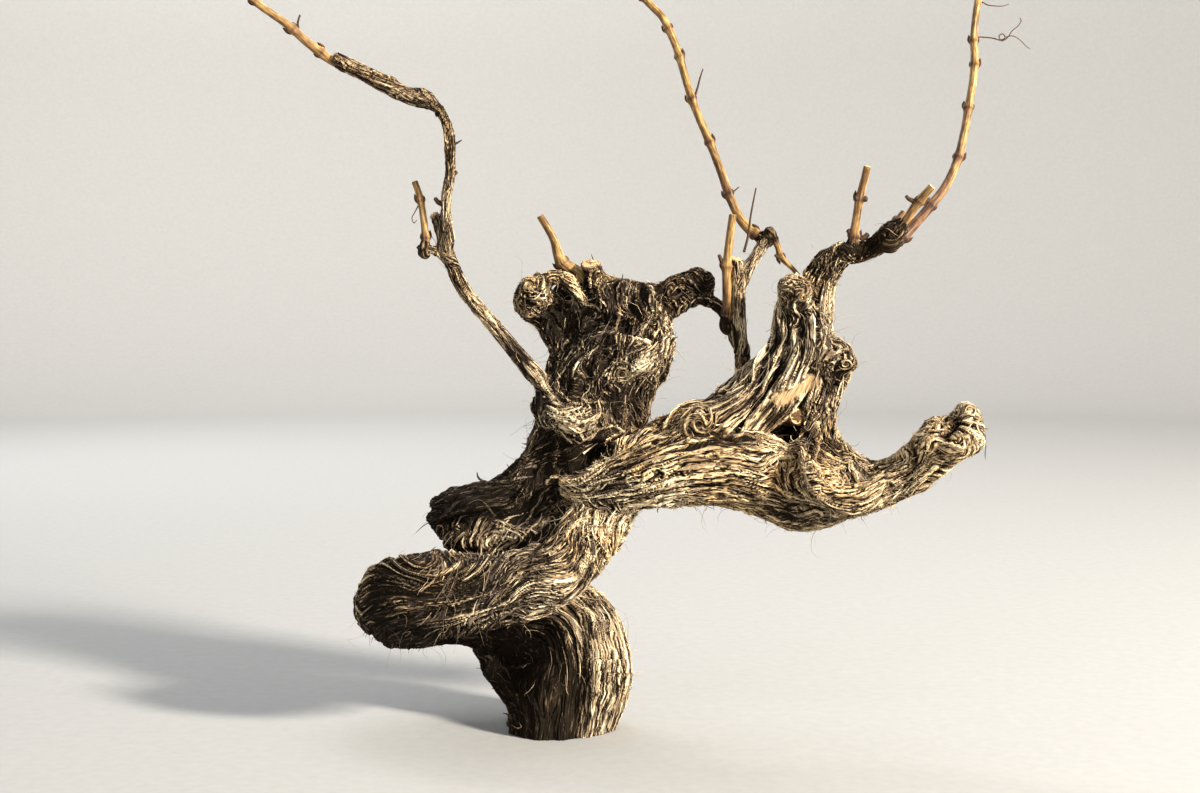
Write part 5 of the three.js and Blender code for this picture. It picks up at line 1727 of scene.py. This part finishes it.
    # the rough old collar that the cane grows from, rooted in the old wood nearest to it
    root, root_r = None, 9.0
    for old in OLD:
        d = np.linalg.norm(COURSES[old].p - c.p[0], axis=1)
        k = int((d - 0.5 * COURSES[old].r).argmin())
        if root is None or d[k] - 0.5 * COURSES[old].r[k] < root_r:
            root, root_r, wood_r = COURSES[old].p[k], d[k] - 0.5 * COURSES[old].r[k], COURSES[old].r[k]
    gap = c.p[0] - root
    reach = np.linalg.norm(gap)
    way_in = -gap / max(1e-6, reach)
    long = 1.9 * min(r[0], 0.0065) + 0.006
    at_s = lambda q: np.array([np.interp(q, c.s, c.p[:, j]) for j in range(3)])
    below = c.p[0] + way_in * min(reach, max(0.006, reach - 0.55 * wood_r)) - c.t[0] * 0.004
    rows = catmull(
        [
            [*below, min(1.6 * r[0], 0.8 * wood_r)],
            [*(0.5 * (below + c.p[0]) - c.t[0] * 0.001), 1.45 * r[0]],
            [*c.p[0], 1.36 * r[0]],
            [*at_s(0.5 * long), 1.20 * r[0]],
            [*at_s(long), 1.03 * r[0]],
        ],
        30,
    )
    rough_n, rough_sides = len(rows), 28
    p2, r2 = rows[:, :3], rows[:, 3]
    t2 = np.gradient(p2, axis=0)
    t2 /= np.maximum(1e-9, np.linalg.norm(t2, axis=1))[:, None]
    side = c.u[0]
    u2 = np.zeros_like(p2)
    for k in range(rough_n):
        side = side - t2[k] * (side @ t2[k])
        side = side / np.linalg.norm(side)
        u2[k] = side
    v2 = np.cross(t2, u2)
    s2 = np.concatenate([[0], np.cumsum(np.linalg.norm(np.diff(p2, axis=0), axis=1))])
    a2 = np.linspace(0, 2 * np.pi, rough_sides, endpoint=False)[None]
    up = s2 / s2[-1]
    q4 = np.stack([(r[0] * np.cos(a2) * np.ones((rough_n, 1))).ravel(), (r[0] * np.sin(a2) * np.ones((rough_n, 1))).ravel(), np.repeat(s2, rough_sides)], 1)
    rag = fbm(q4 * (330, 330, 90) + 3.3 * order, 3, 31).reshape(rough_n, rough_sides)
    crag = fbm(q4 * (120, 120, 120) + 1.7 * order, 2, 34).reshape(rough_n, rough_sides)
    hem = 1 - smooth(0.66, 0.98, up[:, None] + 0.14 * rag + 0.12 * crag)
    rr = r2[:, None] + 0.0011 * rag + 0.0017 * crag
    rr = rr * hem + (r[0] * 0.80) * (1 - hem)
    rr[-1], rr[0] = r[0] * 0.7, 0.7 * r2[0]
    w2 = rr[..., None] * (np.cos(a2)[..., None] * u2[:, None] + np.sin(a2)[..., None] * v2[:, None])
    cv2 = np.vstack([(p2[:, None] + w2).reshape(-1, 3), p2[:1], p2[-1:]])
    j2 = np.arange(rough_sides)
    k2 = (j2 + 1) % rough_sides
    m2 = rough_n * rough_sides
    COLLARS.append((cv2, [ring_faces(rough_n, rough_sides, 0), np.concatenate([np.stack([np.full(rough_sides, m2), k2, j2], 1), np.stack([np.full(rough_sides, m2 + 1), m2 - rough_sides + j2, m2 - rough_sides + k2], 1)])]))
    COLLAR_TONE.append(np.concatenate([np.clip(0.20 + 0.30 * rag + 0.14 * crag, 0, 1).ravel(), [0.1, 0.1]]))
    COLLAR_FLOW.append(np.vstack([q4 * (1, 1, 0.15) + order, [[0, 0, 0], [0, 0, 0]]]))


for order, limb in enumerate(CANES):
    make_cane(limb, order)


kv, kf = joined(COLLARS)
collars = new_object("cane_collars", kv, kf)
collars.data.materials.append(OLD_BARK)
give(collars.data, "tone", np.concatenate(COLLAR_TONE))
give(collars.data, "warm", np.full(len(kv), 0.72))
give(collars.data, "bare", np.zeros(len(kv)))
give(collars.data, "flow", np.vstack(COLLAR_FLOW))


# ------------------------------------------------------------------ small things: buds, twigs, tendrils
def thin_tube(points, radii, sides=6, samples=None):
    """A closed thin tube along a smooth path, with pointed or blunt ends."""
    rows = catmull(np.column_stack([points, radii]), samples or 6 * len(points))
    p, r = rows[:, :3], np.maximum(rows[:, 3], 0.00012)
    t = np.gradient(p, axis=0)
    t /= np.maximum(1e-9, np.linalg.norm(t, axis=1))[:, None]
    side = np.array([0, 1.0, 0]) if abs(t[0, 1]) < 0.8 else np.array([1.0, 0, 0])
    us = []
    for k in range(len(p)):
        side = side - t[k] * (side @ t[k])
        side /= np.linalg.norm(side)
        us.append(side)
    u = np.array(us)
    v = np.cross(t, u)
    a = np.linspace(0, 2 * np.pi, sides, endpoint=False)
    verts = (p[:, None] + r[:, None, None] * (np.cos(a)[None, :, None] * u[:, None] + np.sin(a)[None, :, None] * v[:, None])).reshape(-1, 3)
    verts = np.vstack([verts, p[:1] - t[:1] * r[0] * 0.4, p[-1:] + t[-1:] * r[-1] * 0.4])
    n = len(p)
    j = np.arange(sides)
    k = (j + 1) % sides
    caps = np.concatenate([np.stack([np.full(sides, n * sides), k, j], 1), np.stack([np.full(sides, n * sides + 1), (n - 1) * sides + j, (n - 1) * sides + k], 1)])
    return verts, [ring_faces(n, sides, 0), caps]


def depth_near(u, v, limbs):
    """The depth of the limb sample that shows nearest to an image place."""
    best = min(((course_place(limb, u, v)[1], COURSES[limb].p[course_place(limb, u, v)[2]][1]) for limb in limbs), key=lambda x: x[0])
    return best[1]


bud_parts = []
for place, side, along, size in BUDS:
    steps = np.array([-0.9, -0.3, 0.25, 0.8, 1.35, 1.9])
    girth = np.array([0.35, 0.85, 1.0, 0.82, 0.45, 0.08])
    pts = place - side * size * 0.45 + along * (steps * size * 0.75)[:, None] + side * (0.45 * size * np.array([0, 0.3, 0.6, 0.85, 1.0, 1.05]))[:, None]
    bud_parts.append(thin_tube(pts, girth * size * 0.48, 8, 14))
bv, bf = joined(bud_parts)
buds = new_object("buds", bv, bf)
buds.data.materials.append(fibre_material("bud_scale", (0.075, 0.036, 0.020), 0.5))


def path_px(rows, limbs, radii, lift=0.0, drift=0.0):
    """Points through image places, at the depth of the limb that they grow from; lift brings them forward in m, drift adds to that along the path."""
    y = depth_near(rows[0][0], rows[0][1], limbs)
    pts = []
    for k, (u, v) in enumerate(rows):
        pts.append(at_depth(u, v, y - lift - drift * k / max(1, len(rows) - 1)))
    return np.array(pts), np.linspace(radii[0], radii[1], len(rows))


twig_rows = [
    ([(298, 28), (298, 22), (300, 15)], ["left_cane"], (0.0017, 0.0011), 0.0, 0.002),
    ([(452, 145), (457, 143), (462, 140)], ["left_arm_rise"], (0.0024, 0.0006), 0.0, 0.004),
    ([(695, 96), (698, 86), (700, 78), (703, 69)], ["middle_cane"], (0.0016, 0.0009), 0.0, 0.004),
    ([(729, 196), (733, 192), (739, 187)], ["middle_cane"], (0.0016, 0.0007), 0.0, 0.003),
    ([(744, 252), (748, 236), (751, 214), (756, 188)], ["middle_fork", "middle_cane"], (0.0019, 0.0010), 0.002, 0.004),
    # dark stubs of old shoots at the nodes
    ([(856, 237), (851, 234), (848, 230)], ["right_upright_spur"], (0.0046, 0.0034), 0.0, 0.002),
    ([(861, 239), (865, 237), (868, 234)], ["right_upright_spur"], (0.0042, 0.0032), 0.0, 0.002),
    ([(860, 199), (857, 199), (855, 198)], ["right_upright_spur"], (0.0048, 0.0036), 0.0, 0.003),
    ([(861, 199), (864, 199), (867, 199)], ["right_upright_spur"], (0.0048, 0.0036), 0.0, 0.003),
    ([(727, 267), (722, 262), (719, 255)], ["middle_spur_cane"], (0.0036, 0.0024), 0.0, 0.002),
    ([(782, 258), (778, 257), (775, 255)], ["middle_side_cane"], (0.0030, 0.0020), 0.0, 0.002),
    ([(915, 202), (909, 199), (906, 196)], ["right_second_spur"], (0.0034, 0.0022), 0.0, 0.002),
    ([(446, 176), (453, 174), (457, 172)], ["left_arm_rise"], (0.0040, 0.0024), 0.0, 0.002),
    ([(443, 204), (438, 202), (435, 198)], ["left_arm_rise"], (0.0040, 0.0024), 0.0, 0.002),
    ([(388, 84), (386, 79), (383, 76)], ["left_arm_reach"], (0.0044, 0.0030), 0.0, 0.002),
]
twig_parts = [thin_tube(*path_px(*row), 7) for row in twig_rows]
tv, tf = joined(twig_parts)
twigs = new_object("dry_twigs", tv, tf)
twigs.data.materials.append(fibre_material("twig_bark", (0.075, 0.045, 0.028), 0.45))

tendril_rows = [
    ([(970, 37), (980, 37), (992, 38), (1000, 40), (1005, 38), (1003, 34), (999, 36), (1002, 41), (1008, 37), (1012, 31), (1018, 26), (1021, 21), (1020, 18)], ["right_cane"], (0.0010, 0.00055), 0.0, 0.012),
    ([(1006, 37), (1013, 36), (1020, 40), (1026, 46), (1030, 49)], ["right_cane"], (0.0007, 0.0004), 0.009, 0.010),
    ([(982, 2), (988, 5), (996, 6), (1003, 6), (1009, 4)], ["right_cane"], (0.0009, 0.0004), 0.0, 0.010),
    ([(418, 206), (415, 212), (412, 218), (414, 223), (417, 220)], ["left_spur_cane"], (0.0009, 0.0005), 0.0, 0.008),
]
tendril_parts = [thin_tube(*path_px(*row), 6, 10 * len(row[0])) for row in tendril_rows]
dv, df = joined(tendril_parts)
tendrils = new_object("tendrils", dv, df)
tendrils.data.materials.append(fibre_material("tendril_skin", (0.11, 0.055, 0.032), 0.4))


# ------------------------------------------------------------------ old cut faces
def cut_face(centre, axis, side, radius, thick, seed, squash=1.0, worn=0.2):
    """A closed disc with the rings and cracks of an old saw or shear cut."""
    sides, rings = 40, 12
    axis = axis / np.linalg.norm(axis)
    u = side - axis * (side @ axis)
    u /= np.linalg.norm(u)
    v = np.cross(axis, u)
    a = np.linspace(0, 2 * np.pi, sides, endpoint=False)
    rim = 1 + 0.05 * np.cos(3 * a + seed) + 0.03 * np.cos(5 * a + 2 * seed)
    verts, tone = [], []
    split = 0.6 * seed
    for k in range(rings):
        f = 1 - k / rings
        wave = 0.00035 * math.sin(26 * f * radius / 0.009 + seed)
        near_split = np.exp(-(((np.mod(a - split + np.pi, 2 * np.pi) - np.pi) * f * radius / 0.0009) ** 2))
        dome = thick * 0.12 * (1 - f**2)
        z = dome + wave - 0.0016 * near_split * f + 0.0003 * np.cos(7 * a + 9 * f)
        verts.append(centre + (radius * f * rim * np.cos(a))[:, None] * u + (radius * squash * f * rim * np.sin(a))[:, None] * v + z[:, None] * axis)
        tone.append(0.62 + 0.26 * math.sin(26 * f * radius / 0.009 + seed) * np.ones(sides) - 0.55 * near_split - worn * (f > 0.85) - 0.35 * (f < 0.12))
    low = centre + (radius * 0.97 * rim * np.cos(a))[:, None] * u + (radius * 0.97 * squash * rim * np.sin(a))[:, None] * v - thick * axis
    verts.append(centre[None] + axis * thick * 0.1)
    verts.append(low)
    verts.append(centre[None] - axis * thick)
    tone += [[0.15], [0.3] * sides, [0.3]]
    j = np.arange(sides)
    k2 = (j + 1) % sides
    quads = [np.stack([r * sides + j, r * sides + k2, (r + 1) * sides + k2, (r + 1) * sides + j], 1) for r in range(rings - 1)]
    c, lo, cl = rings * sides, rings * sides + 1, rings * sides + 1 + sides
    quads.append(np.stack([lo + j, lo + k2, k2, j], 1))
    tris = np.concatenate([np.stack([np.full(sides, c), (rings - 1) * sides + j, (rings - 1) * sides + k2], 1), np.stack([np.full(sides, cl), lo + k2, lo + j], 1)])
    return np.vstack(verts), [np.concatenate(quads), tris], np.clip(np.concatenate([np.ravel(x) for x in tone]), 0, 1)


cut_parts, cut_tone = [], []
for k, limb in enumerate(sorted(FLAT_ENDS)):
    c = COURSES[limb]
    place, n = CUT_PLANES[limb]
    v, f, tn = cut_face(place + n * 0.0006, n, c.u[-1], 0.84 * c.r[-1], 0.005, 1.7 * k + 0.4)
    cut_parts.append((v, f))
    cut_tone.append(tn)
spot, _ = on_skin(798, 416)
way = np.array([0.36, -1.0, 0.12])
v, f, tn = cut_face(at_depth(797, 416, spot[1] - 0.0314), way, np.array([1.0, 0, 0]), 0.0122, 0.034, 3.3, 0.95, 0.1)
cut_parts.append((v, f))
cut_tone.append(np.full(len(v), 0.10))
v, f, tn = cut_face(at_depth(797, 416, spot[1] - 0.0330), way, np.array([1.0, 0, 0]), 0.0104, 0.012, 5.1, 0.95, 0.1)
# the face's tone is raised by 0.5: painted light, as the face sits in the shade of the column
tn = np.clip(tn + 0.5, 0, 1)
tn[-41:] = 0.12
cut_parts.append((v, f))
cut_tone.append(tn)
cv, cf = joined(cut_parts)
cuts = new_object("cut_faces", cv, cf)
cuts.data.materials.append(CUT)
give(cuts.data, "tone", np.concatenate(cut_tone))
give(cuts.data, "flow", cv)
bpy.data.meshes.remove(fine)

# ------------------------------------------------------------------ what stands for what
HELD = {
    "bark_foot": ["trunk_foot"],
    "bark_loop": ["trunk_low_bend", "trunk_left_turn", "trunk_heel"],
    "bark_torso": ["trunk_upper_sweep", "back_elbow", "knuckle_underside", "front_arm", "front_arm_strand"],
    "bark_head": [
        "left_trunk", "torso_collar", "head_left_knob", "head_left_strand", "head_cut_stump", "head_right_arm",
        "head_hollow_back", "left_arm_lower", "left_arm_rise", "left_arm_reach", "left_spur",
    ],
    "bark_right_bend": ["right_bend", "right_column", "right_hollow_back", "right_lower_arm"],
    "bark_right_top": [
        "right_rising_arm", "right_burl", "right_knob", "right_upper_arm", "middle_stem", "middle_fork", "head_neck",
    ],
}
for name, ob in BARK_PIECES.items():
    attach(ob, "root")
    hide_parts(*[n for n in HELD[name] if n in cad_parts])
for ob, limb in CANE_OBJECTS:
    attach(ob, "root")
    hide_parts(limb)
for ob in LOOSE_PIECES:
    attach(ob, "root")
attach(collars, "root")
for ob in (buds, twigs, tendrils, cuts):
    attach(ob, "root")
# nothing stands out of the part's box or under the ground
for ob in list(BARK_PIECES.values()) + [o for o, _ in CANE_OBJECTS] + list(LOOSE_PIECES) + [collars, buds, twigs, tendrils, cuts]:
    xyz = np.empty(3 * len(ob.data.vertices), np.float32)
    ob.data.vertices.foreach_get("co", xyz)
    xyz = np.clip(xyz.reshape(-1, 3), np.array(CAD_LO) + (0.00002, 0.00002, 0), np.array(CAD_HI) - 0.00002)
    ob.data.vertices.foreach_set("co", xyz.astype(np.float32).ravel())
    ob.data.update()
left_over = [n for n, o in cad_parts.items() if not o.hide_render]
if left_over:
    raise RuntimeError("no piece stands for " + ", ".join(left_over))

# ------------------------------------------------------------------ floor, light and camera
# a round sweep of pale paper, wide enough for a camera to go all round the plant inside it
flat, bend, rise, around = 5.4, 1.8, 4.4, 96
profile = [(0.6 * k, 0.0) for k in range(1, 9)] + [(flat, 0.0)]
for k in range(1, 17):
    w = 0.5 * math.pi * k / 16
    profile.append((flat + bend * math.sin(w), bend * (1 - math.cos(w))))
profile.append((flat + bend, rise))
turn = np.linspace(0, 2 * np.pi, around, endpoint=False)
fv = [np.stack([0.1 + r * np.cos(turn), r * np.sin(turn), np.full(around, z - 0.0004)], 1) for r, z in profile]
fv = np.vstack(fv + [np.array([[0.1, 0, -0.0004]])])
k = np.arange(around)
k2 = (k + 1) % around
ff = [np.stack([r * around + k, r * around + k2, (r + 1) * around + k2, (r + 1) * around + k], 1)[:, ::-1] for r in range(len(profile) - 1)]
floor = new_object("floor", fv, [np.concatenate(ff), np.stack([np.full(around, len(fv) - 1), k, k2], 1)])
m, nt, b = shader("floor_paper")
co_n = node(nt, "ShaderNodeTexCoord").outputs["Object"]
grainy = node(nt, "ShaderNodeTexNoise", Scale=60.0, Detail=4.0, Roughness=0.6)
nt.links.new(co_n, grainy.inputs["Vector"])
nt.links.new(ramp(nt, grainy.outputs["Fac"], [(0.3, (0.375, 0.375, 0.37)), (0.7, (0.405, 0.405, 0.40))]), b.inputs["Base Color"])
b.inputs["Roughness"].default_value = 0.95
b.inputs["Specular IOR Level"].default_value = 0.1
floor.data.materials.append(m)
floor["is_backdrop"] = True


def area_light(name, place, aim, energy, size, color):
    d = bpy.data.lights.new(name, "AREA")
    d.energy, d.size, d.color = energy, size, color
    o = bpy.data.objects.new(name, d)
    o.location = place
    o.rotation_euler = (Vector(aim) - Vector(place)).to_track_quat("-Z", "Y").to_euler()
    bpy.context.scene.collection.objects.link(o)
    return o


area_light("key", (4.87, -2.79, 2.97), (0.1, 0, 0.45), 1090, 0.74, (1.0, 0.92, 0.80))
area_light("fill", (-2.4, -2.2, 1.9), (0.05, 0, 0.45), 14, 1.8, (0.82, 0.90, 1.0))
area_light("top", (0.3, 0.9, 3.0), (0.05, 0.1, 0.5), 24, 1.6, (0.93, 0.96, 1.0))
area_light("back", (-2.6, 3.4, 2.7), (0.05, 0.1, 0.5), 60, 1.6, (0.95, 0.97, 1.0))
area_light("backdrop_wash", (-1.2, 3.4, 5.0), (0.2, 7.2, 1.0), 300, 2.6, (1.0, 0.98, 0.95))
area_light("left_wash", (-3.4, 0.0, 5.0), (-7.2, 0, 1.0), 90, 2.6, (1.0, 0.98, 0.95))
area_light("right_wash", (3.6, 0.4, 5.0), (7.2, 0.4, 1.0), 90, 2.6, (1.0, 0.98, 0.95))
area_light("front_wash", (0.2, -3.4, 5.0), (0.2, -7.2, 1.0), 90, 2.6, (1.0, 0.98, 0.95))
world = bpy.data.worlds.new("studio")
world.use_nodes = True
world.node_tree.nodes["Background"].inputs[0].default_value = (0.86, 0.91, 1.0, 1)
world.node_tree.nodes["Background"].inputs[1].default_value = 0.17
bpy.context.scene.world = world
bpy.context.scene.view_settings.view_transform = "Standard"

cam = bpy.data.objects.new("camera", bpy.data.cameras.new("camera"))
cam.data.lens, cam.data.sensor_width = 50.0, 36.0
cam.data.clip_end = 40.0
cam.location = tuple(EYE)
cam.rotation_euler = (math.pi / 2 - TILT, 0, 0)
bpy.context.scene.collection.objects.link(cam)
bpy.context.scene.camera = cam
